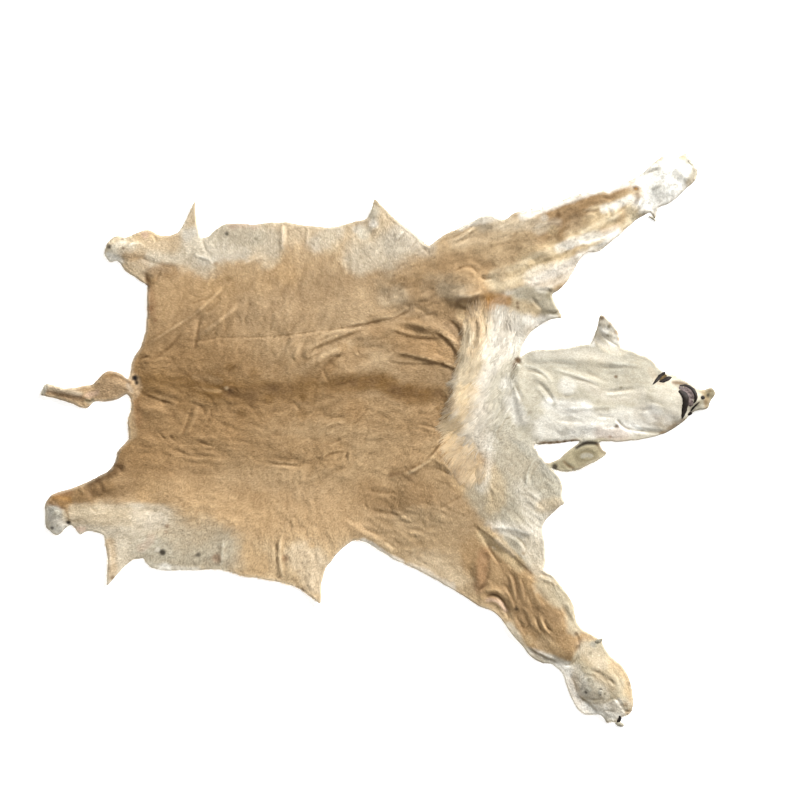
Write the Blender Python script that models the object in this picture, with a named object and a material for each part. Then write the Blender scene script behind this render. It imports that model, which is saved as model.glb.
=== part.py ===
"""A lion skin dressed with its coat on, lying flat with the coat side up.

Run it with: blender --background --python part.py

Metres, +Z up. The head points along +X and the tail along -X. "Far" is the +Y side of the skin and
"near" is the -Y side. Places in the tables are in centimetres from the middle of the skin, and
heights are in millimetres.

The skin is one sheet. Its outline is the union of simple parts, each laid out as rungs from its far
edge to its near edge. Its height has two layers: how far the skin is raised off the floor by folds
and curled edges, and how thick the skin and its coat are on top of that.
"""

import math
from collections import namedtuple

import bpy
import numpy as np
from mathutils import Vector, noise
from mathutils.geometry import delaunay_2d_cdt

CM = 0.01
MM = 0.001

# Driving sizes
SKIN_MM = 2.4
COAT_MM = 4.2
EDGE_FADE_CM = 1.3
LEAST_THICKNESS_MM = 1.8
BROAD_UNEVEN_MM = 2.2
BROAD_PATCH_CM = 13.0
SMALL_UNEVEN_MM = 1.1
SMALL_PATCH_CM = 5.0

# How finely the sheet is divided
EDGE_STEP_CM = 1.5
SHORTEST_EDGE_CM = 0.55
FIELD_PITCH_CM = 2.9
FIELD_ROW_SHARE = 0.87
FIELD_CLEARANCE_CM = 1.7
FOLD_STEP_CM = 1.9
FOLD_CLEARANCE_CM = 0.55
EDGE_RING_CM = 0.85
EDGE_RING_CLEARANCE_CM = 1.5
EDGE_CLEARANCE_CM = 0.68
SMALLEST_GAP_CM2 = 1.5
SAME_POINT_CM = 1e-6
SHARP_ANGLE_DEG = 50

# The knife leaves an uneven edge
RAGGED_CM = 0.28
RAGGED_WAVE_CM = 2.6
FINE_RAGGED_SHARE = 0.6
FINE_RAGGED_WAVE_CM = 1.1
TAB_DRAWN_IN = 0.12
TAB_ROOT_SHARE = 0.5

# A step fold is highest at its rim and settles over this distance behind it
STEP_SETTLES_CM = 9.0
FOLD_END_SHARE = 0.3
FOLD_WANDERS = 0.035
FOLD_WANDER_WAVE_CM = 6.0
CREST_VARIES = 0.55
CREST_WAVE_CM = 5.0
HOLLOW_FROM_MM = 6.5
FLAT_BELOW_MM = 1.2

# Where rows of points go on a fold, in widths from its line
FLANKS = {
    "crease": (0.0, -1.1, 1.1),
    "ridge": (0.0, -1.1, 1.1),
    "step": (0.0, -0.7, 0.7, -1.6, 1.8),
    "swell": (),
}

# Each kind of unevenness reads its own layer of noise
EDGE_LAYER, FINE_EDGE_LAYER, BROAD_LAYER, SMALL_LAYER, WANDER_LAYER, CREST_LAYER = range(0, 60, 10)

Rung = namedtuple("Rung", "far_x far_y near_x near_y")
Tab = namedtuple("Tab", "first_x first_y tip_x tip_y last_x last_y")
Fold = namedtuple("Fold", "kind x1 y1 x2 y2 x3 y3 width_cm height_mm lean_cm")
Mound = namedtuple("Mound", "x y length_cm width_cm turn_deg height_mm")
Curl = namedtuple("Curl", "x y reach_cm lift_mm")

TRUNK = (
    Rung(-68.0, 17.7, -68.3, 12.6),
    Rung(-67.0, 22.0, -67.5, 9.6),
    Rung(-64.2, 27.6, -68.6, 4.8),
    Rung(-63.3, 33.3, -68.1, 0.3),
    Rung(-63.0, 42.5, -67.5, -8.0),
    Rung(-61.0, 50.0, -66.0, -22.0),
    Rung(-57.5, 55.9, -64.3, -32.0),
    Rung(-52.0, 57.2, -61.8, -35.0),
    Rung(-47.6, 55.6, -51.9, -35.7),
    Rung(-42.1, 59.4, -44.0, -35.3),
    Rung(-33.4, 59.4, -36.0, -37.4),
    Rung(-26.4, 60.0, -28.5, -38.6),
    Rung(-17.5, 58.9, -21.0, -40.0),
    Rung(-12.5, 58.6, -15.5, -36.5),
    Rung(-6.5, 60.0, -10.2, -30.1),
    Rung(1.0, 61.0, -6.6, -27.4),
    Rung(8.9, 58.1, -0.5, -28.8),
    Rung(13.5, 53.9, 8.0, -33.0),
    Rung(24.0, 50.0, 22.0, -36.0),
    Rung(36.0, 43.0, 36.0, -37.0),
    Rung(46.0, 38.5, 45.4, -35.8),
    Rung(46.4, 33.2, 46.0, -28.4),
    Rung(42.8, 30.3, 45.7, -23.0),
    Rung(40.1, 26.6, 50.0, -17.6),
    Rung(39.4, 24.0, 50.8, -11.5),
    Rung(39.0, 20.0, 47.0, -6.8),
    Rung(40.0, 10.0, 44.6, -4.0),
    Rung(41.0, 5.0, 42.8, -0.9),
)

HEAD = (
    Rung(38.6, 22.4, 40.6, -0.6),
    Rung(42.8, 24.7, 44.6, -1.0),
    Rung(51.4, 25.3, 52.0, -0.4),
    Rung(57.8, 26.4, 58.0, 0.0),
    Rung(66.5, 25.6, 67.5, -0.3),
    Rung(72.0, 23.7, 73.8, 0.7),
    Rung(74.8, 22.6, 78.0, 1.6),
    Rung(78.0, 19.2, 81.5, 3.2),
    Rung(81.5, 18.0, 84.4, 5.5),
    Rung(85.5, 15.9, 87.4, 8.2),
    Rung(89.6, 13.9, 90.9, 8.9),
    Rung(92.0, 14.7, 91.7, 11.2),
    Rung(92.9, 13.6, 93.1, 12.8),
)

FAR_EAR = (
    Rung(58.0, 25.0, 67.0, 24.0),
    Rung(60.0, 29.5, 66.4, 28.9),
    Rung(60.5, 32.1, 65.2, 31.2),
    Rung(60.9, 34.1, 63.2, 33.4),
    Rung(61.5, 34.7, 62.2, 34.4),
)

NEAR_EAR = (
    Rung(63.3, -3.3, 62.9, -3.9),
    Rung(61.8, -2.4, 60.5, -5.4),
    Rung(60.3, 0.6, 57.5, -6.9),
    Rung(57.0, 0.6, 54.5, -8.2),
    Rung(54.4, -1.4, 51.5, -8.6),
    Rung(51.6, -3.4, 49.2, -8.0),
    Rung(50.2, -4.8, 46.4, -6.6),
)

FAR_FORELEG = (
    Rung(12.5, 51.0, 22.0, 30.0),
    Rung(15.6, 54.6, 26.0, 31.0),
    Rung(21.4, 58.1, 32.0, 34.0),
    Rung(25.3, 59.9, 38.0, 37.0),
    Rung(30.6, 62.2, 43.0, 38.5),
    Rung(34.6, 60.8, 48.5, 40.6),
    Rung(38.0, 62.8, 50.6, 42.0),
    Rung(44.4, 64.0, 53.2, 45.3),
    Rung(48.2, 64.9, 55.0, 48.6),
    Rung(53.0, 67.2, 57.2, 51.5),
    Rung(57.0, 68.1, 61.2, 52.2),
    Rung(64.2, 69.5, 65.9, 56.0),
    Rung(71.5, 72.6, 71.2, 60.5),
    Rung(76.8, 77.1, 77.2, 64.2),
    Rung(78.8, 78.4, 80.4, 65.2),
    Rung(82.0, 78.2, 84.4, 68.7),
    Rung(84.6, 79.1, 87.2, 71.4),
    Rung(86.7, 76.2, 88.2, 73.7),
)

NEAR_FORELEG = (
    Rung(32.0, -20.0, -2.9, -28.0),
    Rung(38.0, -24.0, 4.4, -32.5),
    Rung(44.0, -30.0, 12.5, -36.4),
    Rung(45.4, -35.4, 20.1, -40.5),
    Rung(48.0, -36.9, 28.1, -45.5),
    Rung(51.3, -40.8, 32.2, -47.3),
    Rung(53.9, -45.5, 38.1, -54.5),
    Rung(54.9, -50.0, 44.2, -60.8),
    Rung(57.2, -52.5, 48.2, -61.7),
    Rung(60.4, -54.1, 50.9, -64.2),
    Rung(64.3, -59.4, 52.5, -69.0),
    Rung(67.6, -62.4, 54.6, -73.2),
    Rung(69.4, -66.0, 57.0, -75.4),
    Rung(70.4, -72.6, 61.4, -75.4),
    Rung(69.6, -75.0, 63.0, -77.8),
)

FAR_HIND_LEG = (
    Rung(-55.0, 56.5, -58.0, 40.0),
    Rung(-60.2, 56.4, -63.2, 42.6),
    Rung(-62.6, 58.0, -65.8, 44.4),
    Rung(-67.3, 56.5, -69.4, 46.8),
    Rung(-69.2, 55.6, -71.6, 49.5),
    Rung(-71.4, 56.4, -73.4, 48.9),
    Rung(-74.4, 54.4, -75.2, 51.4),
)

NEAR_HIND_LEG = (
    Rung(-62.0, 2.0, -62.0, -31.0),
    Rung(-68.1, 0.3, -66.5, -32.6),
    Rung(-71.4, -3.4, -70.0, -31.0),
    Rung(-72.0, -6.4, -75.1, -26.0),
    Rung(-77.8, -10.6, -79.6, -24.7),
    Rung(-84.4, -13.2, -84.6, -23.3),
    Rung(-89.8, -15.0, -88.1, -26.2),
    Rung(-91.3, -17.6, -91.3, -23.8),
)

TAIL = (
    Rung(-66.6, 16.4, -66.8, 13.2),
    Rung(-68.4, 16.6, -68.8, 13.0),
    Rung(-70.4, 18.5, -70.9, 11.7),
    Rung(-74.5, 19.0, -74.2, 10.8),
    Rung(-76.3, 17.7, -78.2, 10.7),
    Rung(-78.2, 15.4, -79.6, 8.8),
    Rung(-81.3, 15.1, -81.6, 9.2),
    Rung(-84.4, 14.3, -85.0, 10.5),
    Rung(-88.0, 14.8, -88.6, 11.6),
    Rung(-91.2, 15.8, -92.9, 12.4),
)

TABS = {
    "far rump tab": Tab(-55.5, 55.8, -50.0, 66.2, -48.7, 55.5),
    "far belly tab": Tab(-3.6, 59.8, -0.7, 66.5, 8.6, 58.0),
    "near rump tab": Tab(-75.2, -26.5, -74.3, -40.1, -65.0, -31.0),
    "near paw tab": Tab(-84.2, -23.0, -81.7, -26.3, -78.6, -24.0),
    "near belly tab": Tab(-26.0, -38.4, -15.4, -45.1, -14.0, -34.4),
    "armpit tab": Tab(47.6, 42.0, 51.0, 33.6, 44.6, 32.0),
    "chest tab": Tab(49.0, -19.0, 51.8, -17.2, 50.4, -14.0),
    "near claw": Tab(66.0, -75.0, 68.0, -79.0, 64.2, -77.0),
    "far dew claw": Tab(74.4, 64.0, 76.4, 60.4, 77.6, 65.0),
    "near dew claw": Tab(59.0, -53.4, 62.0, -55.2, 61.6, -57.0),
    "near elbow knob": Tab(16.4, -38.0, 18.4, -39.8, 20.4, -40.2),
    "head tuft": Tab(90.2, 13.0, 93.0, 12.8, 90.9, 9.4),
}

FOLDS = {
    "neck hair over the shoulder": Fold("step", 25.0, 34.0, 21.8, 16.0, 17.6, -1.6, 1.3, 13, 1.0),
    "neck hair, near end": Fold("ridge", 18.4, 1.0, 14.2, -5.0, 5.0, -9.6, 0.9, 9, 0.5),
    "head over the neck": Fold("step", 38.2, 23.5, 38.0, 13.5, 41.0, 1.0, 1.0, 8, 0.5),
    "far shoulder lobe": Fold("step", 16.5, 40.0, 23.6, 38.7, 32.0, 41.5, 1.2, 17, 1.1),
    "far lobe, upper crease": Fold("crease", 20.5, 46.8, 24.4, 48.8, 27.8, 48.2, 0.9, 6, 0),
    "far lobe, front crease": Fold("crease", 27.6, 45.2, 30.2, 43.4, 33.6, 44.8, 0.8, 6, 0),
    "far shoulder, rolled edge": Fold("crease", 15.4, 53.0, 20.0, 56.4, 26.0, 60.2, 0.7, 5, 0),
    "long back crease, rear": Fold("crease", -54.0, 27.8, -32.0, 28.6, -9.0, 30.8, 0.7, 3, 0),
    "long back crease, front": Fold("crease", -11.0, 30.6, 1.6, 32.6, 11.0, 37.4, 0.9, 6, 0),
    "ridge below that crease": Fold("ridge", -8.0, 28.2, 1.8, 29.6, 8.6, 33.8, 1.5, 7, 0),
    "slanting back ridge": Fold("ridge", -23.0, 22.0, -16.0, 26.0, -9.0, 29.4, 1.4, 5, 0),
    "shoulder crease, upper": Fold("crease", 4.4, 31.4, 13.6, 28.8, 22.6, 24.6, 0.8, 6, 0),
    "shoulder ridge": Fold("ridge", 3.0, 24.6, 13.0, 23.8, 22.4, 19.6, 1.2, 8, 0),
    "shoulder ridge, upper": Fold("ridge", 9.0, 31.0, 15.0, 31.6, 20.4, 29.8, 1.2, 6, 0),
    "shoulder crease, short": Fold("crease", 20.2, 32.0, 21.4, 29.6, 23.2, 27.6, 0.7, 5, 0),
    "neck crinkle, rear": Fold("ridge", 23.4, 35.0, 25.4, 30.0, 23.8, 25.0, 0.9, 5, 0),
    "neck crinkle, front": Fold("ridge", 27.0, 35.6, 28.6, 29.5, 26.4, 23.0, 1.0, 5, 0),
    "far rump ridge, outer": Fold("ridge", -41.0, 42.8, -51.0, 34.8, -65.4, 22.6, 1.5, 8, 0),
    "far rump ridge, inner": Fold("ridge", -34.0, 38.6, -42.0, 33.5, -51.0, 29.2, 1.4, 7, 0),
    "far rump crease": Fold("crease", -47.4, 36.2, -49.0, 32.6, -50.6, 29.4, 0.8, 5, 0),
    "far flank ridge": Fold("ridge", -30.5, 51.6, -35.4, 48.6, -40.6, 45.0, 1.4, 5, 0),
    "far flank rib": Fold("ridge", -25.6, 59.6, -25.2, 55.0, -25.8, 49.6, 1.0, 5, 0),
    "tail root crease": Fold("crease", -67.4, 17.2, -62.0, 12.4, -55.6, 10.2, 0.8, 6, 0),
    "tail root, short crease": Fold("crease", -65.2, 24.0, -65.8, 20.6, -65.6, 17.6, 0.7, 5, 0),
    "back of the rump ridge": Fold("ridge", -66.6, 8.4, -60.0, 8.0, -52.0, 7.4, 1.4, 5, 0),
    "near shoulder crease": Fold("crease", 13.4, -7.4, 16.6, -8.2, 20.4, -9.8, 0.8, 5, 0),
    "near side crease": Fold("crease", -2.4, -18.4, 2.4, -19.2, 7.2, -20.8, 0.8, 5, 0),
    "near belly rolled edge": Fold("ridge", -8.6, -22.6, -2.6, -25.8, 4.0, -29.6, 1.2, 7, 0),
    "near belly crease": Fold("crease", -9.0, -19.8, -3.6, -23.4, 1.6, -26.6, 0.7, 4, 0),
    "short near crease": Fold("crease", -31.4, -6.2, -25.2, -6.0, -19.2, -6.9, 0.7, 5, 0),
    "near wrinkle": Fold("ridge", -16.8, -7.0, -11.8, -4.0, -7.4, -3.4, 0.9, 5, 0),
    "near flank rib": Fold("ridge", -22.6, -40.0, -23.6, -34.0, -22.4, -28.0, 1.1, 5, 0),
    "near foreleg, main fold": Fold("step", 25.6, -22.4, 35.0, -29.6, 44.2, -37.6, 1.0, 9, 0.6),
    "near foreleg, light ridge": Fold("ridge", 31.0, -24.0, 38.0, -23.2, 46.0, -27.2, 1.3, 8, 0),
    "near foreleg, inner crease": Fold("crease", 29.2, -26.6, 32.4, -30.6, 34.4, -35.0, 0.8, 5, 0),
    "near foreleg, rear ridge": Fold("ridge", 28.4, -30.6, 27.4, -36.0, 28.8, -42.0, 1.4, 8, 0),
    "near elbow": Fold("crease", 28.6, -42.6, 33.6, -43.4, 36.8, -48.6, 0.8, 6, 0),
    "near elbow rim": Fold("ridge", 30.0, -40.6, 35.4, -41.8, 38.8, -47.4, 1.1, 7, 0),
    "near wrist": Fold("step", 46.2, -59.6, 53.6, -60.6, 54.8, -53.0, 1.0, 8, -0.5),
    "near pad crease, upper": Fold("crease", 58.6, -62.6, 62.4, -64.2, 65.6, -67.2, 0.8, 6, 0),
    "near pad crease, lower": Fold("crease", 54.6, -69.0, 57.4, -72.6, 61.6, -74.8, 0.8, 6, 0),
    "far foreleg, long ridge": Fold("ridge", 32.0, 46.4, 48.0, 52.6, 67.0, 62.4, 1.8, 8, 0),
    "far foreleg, lower ridge": Fold("ridge", 44.0, 45.0, 52.0, 49.6, 61.0, 56.0, 1.3, 7, 0),
    "far foreleg, crease": Fold("crease", 36.0, 46.0, 49.0, 50.6, 62.0, 58.0, 0.9, 5, 0),
    "far wrist": Fold("crease", 64.0, 66.0, 67.4, 63.6, 69.6, 60.6, 0.9, 5, 0),
    "head, rear arc": Fold("ridge", 41.0, 19.4, 47.0, 15.4, 48.8, 9.4, 1.2, 6, 0),
    "head, cheek crease": Fold("crease", 61.0, 13.4, 66.8, 13.4, 73.0, 14.6, 0.9, 5, 0),
    "head, jaw crease": Fold("crease", 65.6, 6.4, 70.0, 3.4, 78.4, 2.4, 0.8, 6, 0),
    "head, far cheek ridge": Fold("ridge", 50.0, 22.0, 60.0, 21.6, 70.0, 20.0, 1.4, 6, 0),
    "head, near cheek ridge": Fold("ridge", 48.0, 3.4, 58.0, 3.8, 66.0, 3.0, 1.4, 6, 0),
    "mouth": Fold("crease", 81.6, 16.4, 86.6, 11.4, 83.4, 6.2, 0.9, 12, 0),
    "eye": Fold("crease", 75.0, 16.0, 77.2, 17.8, 79.8, 17.2, 0.7, 9, 0),
    "near ear hollow": Fold("crease", 52.6, -5.0, 56.8, -4.0, 60.6, -3.6, 1.2, 9, 0),
    "far hind paw crease": Fold("crease", -73.6, 52.8, -70.6, 52.2, -68.2, 52.6, 0.8, 7, 0),
    "far hind leg crease": Fold("crease", -69.0, 49.6, -65.0, 49.4, -61.0, 48.0, 0.9, 6, 0),
    "near hind paw crease": Fold("crease", -90.2, -16.6, -87.6, -17.4, -85.0, -19.0, 0.8, 8, 0),
    "near hind leg ridge": Fold("ridge", -84.0, -16.4, -76.0, -14.4, -67.0, -10.0, 1.5, 8, 0),
    "near hind leg, lower ridge": Fold("ridge", -80.0, -21.4, -72.0, -21.0, -62.0, -20.6, 1.5, 6, 0),
    "tail twist": Fold("crease", -76.8, 17.6, -78.6, 13.4, -79.2, 9.4, 0.9, 8, 0),
    "tail leaf fold": Fold("ridge", -69.0, 15.6, -72.6, 16.6, -76.4, 15.6, 1.1, 7, 0),
    "far back swell": Fold("swell", -56.0, 25.0, -28.0, 23.0, 2.0, 19.6, 4.5, 2.6, 0),
    "near back swell": Fold("swell", -58.0, 2.0, -22.0, -0.6, 14.0, 4.0, 5.0, 2.6, 0),
    "far thigh swell": Fold("swell", -62.0, 36.0, -52.0, 45.0, -36.0, 52.0, 4.0, 3.4, 0),
    "near thigh swell": Fold("swell", -66.0, -4.0, -52.0, -17.0, -32.0, -25.0, 5.0, 4.0, 0),
    "far shoulder swell": Fold("swell", 0.0, 40.0, 10.0, 44.0, 22.0, 52.0, 4.5, 4.0, 0),
    "near shoulder swell": Fold("swell", 2.0, -13.0, 16.0, -17.0, 30.0, -19.0, 5.0, 5.0, 0),
    "far foreleg swell": Fold("swell", 34.0, 54.0, 48.0, 59.0, 64.0, 65.0, 3.4, 4.4, 0),
    "near foreleg swell": Fold("swell", 36.0, -38.0, 44.0, -46.0, 51.0, -55.0, 4.0, 4.6, 0),
}

MOUNDS = {
    "neck hair": Mound(29.5, 14.0, 44.0, 26.0, 96.0, 8.0),
    "throat hair": Mound(36.0, -8.0, 34.0, 24.0, 60.0, 6.0),
    "back of the head": Mound(50.0, 12.5, 34.0, 27.0, 0.0, 9.0),
    "cheeks": Mound(65.5, 12.6, 36.0, 25.0, -4.0, 12.0),
    "muzzle": Mound(81.5, 10.8, 20.0, 15.0, -10.0, 13.0),
    "nose": Mound(87.4, 11.6, 9.0, 7.0, -10.0, 8.0),
    "far shoulder lobe": Mound(24.2, 43.8, 15.0, 10.0, 4.0, 7.0),
    "far paw": Mound(81.4, 72.4, 17.0, 12.0, 42.0, 16.0),
    "far paw, toes": Mound(85.0, 75.0, 8.0, 8.0, 42.0, 8.0),
    "far wrist": Mound(70.0, 66.0, 20.0, 9.0, 32.0, 8.0),
    "near paw": Mound(61.4, -66.4, 19.0, 15.0, -56.0, 16.0),
    "near paw, outer toe": Mound(66.6, -72.0, 9.0, 8.0, -60.0, 9.0),
    "near paw, inner toe": Mound(61.6, -74.6, 8.0, 7.0, 20.0, 7.0),
    "near wrist": Mound(51.0, -54.0, 20.0, 12.0, -50.0, 8.0),
    "far hind paw": Mound(-71.0, 52.6, 9.0, 8.0, 0.0, 15.0),
    "far hind ankle": Mound(-64.6, 52.0, 10.0, 12.0, 0.0, 7.0),
    "near hind paw": Mound(-88.2, -20.4, 9.0, 12.0, 8.0, 17.0),
    "near hind ankle": Mound(-81.0, -18.4, 12.0, 11.0, 10.0, 8.0),
    "tail leaf": Mound(-73.2, 15.0, 11.0, 9.0, 0.0, 6.0),
    "tail roll": Mound(-84.8, 12.6, 18.0, 6.5, 4.0, 11.0),
}

CURLS = {
    "far rump tab": Curl(-50.2, 66.0, 8.0, 9.0),
    "far belly tab": Curl(-0.8, 66.4, 9.0, 14.0),
    "near rump tab": Curl(-74.2, -40.0, 8.0, 9.0),
    "near belly tab": Curl(-15.4, -45.0, 8.0, 11.0),
    "armpit tab": Curl(51.0, 33.6, 8.0, 20.0),
    "far ear": Curl(62.2, 34.6, 9.0, 24.0),
    "near ear": Curl(59.0, -7.6, 6.0, 12.0),
    "chest tab": Curl(51.6, -17.0, 7.0, 10.0),
    "chest edge": Curl(46.6, -27.8, 5.0, 7.0),
    "far shoulder edge": Curl(30.6, 62.4, 7.0, 8.0),
    "far elbow edge": Curl(56.6, 50.4, 6.0, 7.0),
    "near elbow edge": Curl(36.0, -52.6, 6.0, 7.0),
    "tail root": Curl(-68.4, 15.0, 4.0, 9.0),
    "tail tip": Curl(-92.4, 14.4, 5.0, 7.0),
    "rump edge": Curl(-68.4, 5.0, 5.0, 6.0),
    "far rump edge": Curl(-63.2, 38.0, 6.0, 7.0),
}


def clear_scene():
    """Takes away whatever the file opened with."""
    for item in list(bpy.data.objects):
        bpy.data.objects.remove(item)


def smooth_step(share):
    """Goes from 0 to 1 with no corner at either end."""
    share = np.clip(share, 0.0, 1.0)
    return share * share * (3.0 - 2.0 * share)


def noise_at(points, wave_cm, layer):
    """Smooth noise from about -1 to 1 at each point, whose waves are about this long."""
    return np.array([noise.noise(Vector((x / wave_cm, y / wave_cm, layer))) for x, y in points])


def normals_of(line, closed=False):
    """The way to the left of the line at each of its points."""
    if closed:
        run = np.roll(line, -1, axis=0) - np.roll(line, 1, axis=0)
    else:
        run = np.gradient(line, axis=0)
    return np.column_stack([-run[:, 1], run[:, 0]]) / np.linalg.norm(run, axis=1)[:, None]


def curve_through(points, step):
    """Points about a step apart on a smooth open curve through three or more given ones."""
    points = np.asarray(points, float)
    chords = np.linalg.norm(np.diff(points, axis=0), axis=1)
    knots = np.concatenate([[0.0], np.cumsum(np.sqrt(chords))])
    slopes = np.gradient(points, knots, axis=0)
    found = []
    for i, chord in enumerate(chords):
        span = knots[i + 1] - knots[i]
        for t in np.arange(0, 1, 1 / max(1, round(chord / step))):
            near_start = (1 + 2 * t) * (1 - t) ** 2 * points[i] + t * (1 - t) ** 2 * span * slopes[i]
            near_end = t * t * (3 - 2 * t) * points[i + 1] + t * t * (t - 1) * span * slopes[i + 1]
            found.append(near_start + near_end)
    found.append(points[-1])
    return np.array(found)


def ring_of_rungs(rungs):
    """The closed outline of a part: along its far edge, and back along its near edge."""
    far = curve_through([(r.far_x, r.far_y) for r in rungs], EDGE_STEP_CM)
    near = curve_through([(r.near_x, r.near_y) for r in rungs], EDGE_STEP_CM)
    return np.concatenate([far, near[::-1]])


def ring_of_tab(tab):
    """A pointed tab of skin whose two sides are drawn in a little."""
    first, tip, last = np.array(tab, float).reshape(3, 2)
    root = (first + last) / 2
    one_side = (first + tip) / 2 * (1 - TAB_DRAWN_IN) + root * TAB_DRAWN_IN
    other_side = (tip + last) / 2 * (1 - TAB_DRAWN_IN) + root * TAB_DRAWN_IN
    under_the_skin = root + (root - tip) * TAB_ROOT_SHARE
    return np.array([first, one_side, tip, other_side, last, under_the_skin])


def signed_area(ring):
    x, y = ring[:, 0], ring[:, 1]
    return 0.5 * float(np.sum(x * np.roll(y, -1) - np.roll(x, -1) * y))


def counter_clockwise(ring):
    return ring if signed_area(ring) > 0 else ring[::-1]


def triangulate(rings, extra_points):
    """Triangles over the rings and points, with the numbers of the rings that hold each triangle."""
    points = [Vector(p) for ring in rings for p in ring] + [Vector(p) for p in extra_points]
    faces, start = [], 0
    for ring in rings:
        faces.append(list(range(start, start + len(ring))))
        start += len(ring)
    verts, _, triangles, _, _, held_by = delaunay_2d_cdt(points, [], faces, 0, SAME_POINT_CM, True)
    return np.array([tuple(v) for v in verts]), triangles, held_by


def rim_loops(triangles):
    """The closed loops of edges that only one triangle has, each going counter-clockwise round it."""
    following = {}
    edges = {(t[i], t[(i + 1) % 3]) for t in triangles for i in range(3)}
    for a, b in edges:
        if (b, a) not in edges:
            following.setdefault(a, []).append(b)
    loops = []
    while following:
        start = min(following)
        loop, here = [], start
        while here in following:
            loop.append(here)
            after = following[here].pop()
            if not following[here]:
                del following[here]
            here = after
            if here == start:
                break
        loops.append(loop)
    return loops


def thinned(ring):
    """The ring without points that crowd the one before them."""
    kept = [ring[0]]
    for point in ring[1:]:
        if np.linalg.norm(point - kept[-1]) >= SHORTEST_EDGE_CM:
            kept.append(point)
    if np.linalg.norm(kept[0] - kept[-1]) < SHORTEST_EDGE_CM:
        kept.pop()
    return np.array(kept)


def ragged(ring):
    """The ring with the small waves that a knife and drying leave in the edge of a skin."""
    waves = noise_at(ring, RAGGED_WAVE_CM, EDGE_LAYER)
    waves += FINE_RAGGED_SHARE * noise_at(ring, FINE_RAGGED_WAVE_CM, FINE_EDGE_LAYER)
    return ring + normals_of(ring, closed=True) * RAGGED_CM * waves[:, None]


def outline_rings():
    """The skin's outer edge, and then the edges of the gaps that show the floor."""
    parts = (TRUNK, HEAD, FAR_EAR, NEAR_EAR, FAR_FORELEG, NEAR_FORELEG, FAR_HIND_LEG, NEAR_HIND_LEG, TAIL)
    rings = [ring_of_rungs(rungs) for rungs in parts] + [ring_of_tab(tab) for tab in TABS.values()]
    points, triangles, held_by = triangulate([counter_clockwise(r) for r in rings], [])
    loops = rim_loops([t for t, holders in zip(triangles, held_by) if holders])
    found = [points[loop] for loop in loops if abs(signed_area(points[loop])) > SMALLEST_GAP_CM2]
    found.sort(key=lambda ring: -abs(signed_area(ring)))
    return [counter_clockwise(ragged(thinned(ring))) for ring in found]


def place_on(points, line, closed=False):
    """For each point: its distance from the line, its side, its share along it, and the way left."""
    ends = np.roll(line, -1, axis=0) if closed else line[1:]
    starts = line if closed else line[:-1]
    run = ends - starts
    length = np.linalg.norm(run, axis=1)
    from_start = points[:, None, :] - starts[None]
    share = np.clip(np.einsum("psk,sk->ps", from_start, run) / length**2, 0, 1)
    offset = from_start - share[:, :, None] * run[None]
    distance = np.linalg.norm(offset, axis=2)
    nearest = distance.argmin(axis=1)
    rows = np.arange(len(points))
    passed = np.concatenate([[0.0], np.cumsum(length)])[nearest]
    along = (passed + share[rows, nearest] * length[nearest]) / length.sum()
    left = np.column_stack([-run[:, 1], run[:, 0]])[nearest] / length[nearest, None]
    side = np.sign(np.einsum("pk,pk->p", offset[rows, nearest], left))
    return distance[rows, nearest], side, along, left


def fold_line(fold):
    """The fold's line through its three places, wandering a little between its ends."""
    line = curve_through([(fold.x1, fold.y1), (fold.x2, fold.y2), (fold.x3, fold.y3)], FOLD_STEP_CM)
    length = np.linalg.norm(np.diff(line, axis=0), axis=1).sum()
    held = np.sin(np.linspace(0, math.pi, len(line)))
    sideways = FOLD_WANDERS * length * held * noise_at(line, FOLD_WANDER_WAVE_CM, WANDER_LAYER)
    return line + normals_of(line) * sideways[:, None]


def inside(points, rings):
    """Whether each point is on the skin, by counting the edges of the rings to its right."""
    crossings = np.zeros(len(points), int)
    for ring in rings:
        ends = np.roll(ring, -1, axis=0)
        for (ax, ay), (bx, by) in zip(ring, ends):
            if ay == by:
                continue
            spans = (ay > points[:, 1]) != (by > points[:, 1])
            at_x = ax + (points[:, 1] - ay) * (bx - ax) / (by - ay)
            crossings += spans & (points[:, 0] < at_x)
    return crossings % 2 == 1


def edge_distance(points, rings):
    return np.min([place_on(points, ring, closed=True)[0] for ring in rings], axis=0)


def spread_out(candidates):
    """Keeps, in order, each point that is far enough from those kept before it."""
    cell = FIELD_PITCH_CM
    kept, cells = [], {}
    for x, y, clearance in candidates:
        column, row = int(x // cell), int(y // cell)
        around = (
            other
            for i in (column - 1, column, column + 1)
            for j in (row - 1, row, row + 1)
            for other in cells.get((i, j), ())
        )
        if all((x - ox) ** 2 + (y - oy) ** 2 >= clearance**2 for ox, oy in around):
            kept.append((x, y))
            cells.setdefault((column, row), []).append((x, y))
    return np.array(kept)


def fold_points():
    """Rows of points on each fold: on its line and on both its flanks."""
    found = []
    for fold in FOLDS.values():
        line = fold_line(fold)
        for flank in FLANKS[fold.kind]:
            row = line + normals_of(line) * flank * fold.width_cm
            found += [(x, y, FOLD_CLEARANCE_CM) for x, y in row]
    return found


def field_points(rings):
    """A slanted grid over the whole skin, and a row just inside its edge."""
    ring_row = []
    for ring in rings:
        for way in (1, -1):
            row = ring + normals_of(ring, closed=True) * way * EDGE_RING_CM
            ring_row += [(x, y, EDGE_RING_CLEARANCE_CM) for x, y in row]
    low, high = rings[0].min(axis=0), rings[0].max(axis=0)
    field = []
    for j, y in enumerate(np.arange(low[1], high[1], FIELD_PITCH_CM * FIELD_ROW_SHARE)):
        slant = FIELD_PITCH_CM / 2 * (j % 2)
        field += [(x + slant, y, FIELD_CLEARANCE_CM) for x in np.arange(low[0], high[0], FIELD_PITCH_CM)]
    return ring_row, field


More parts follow.
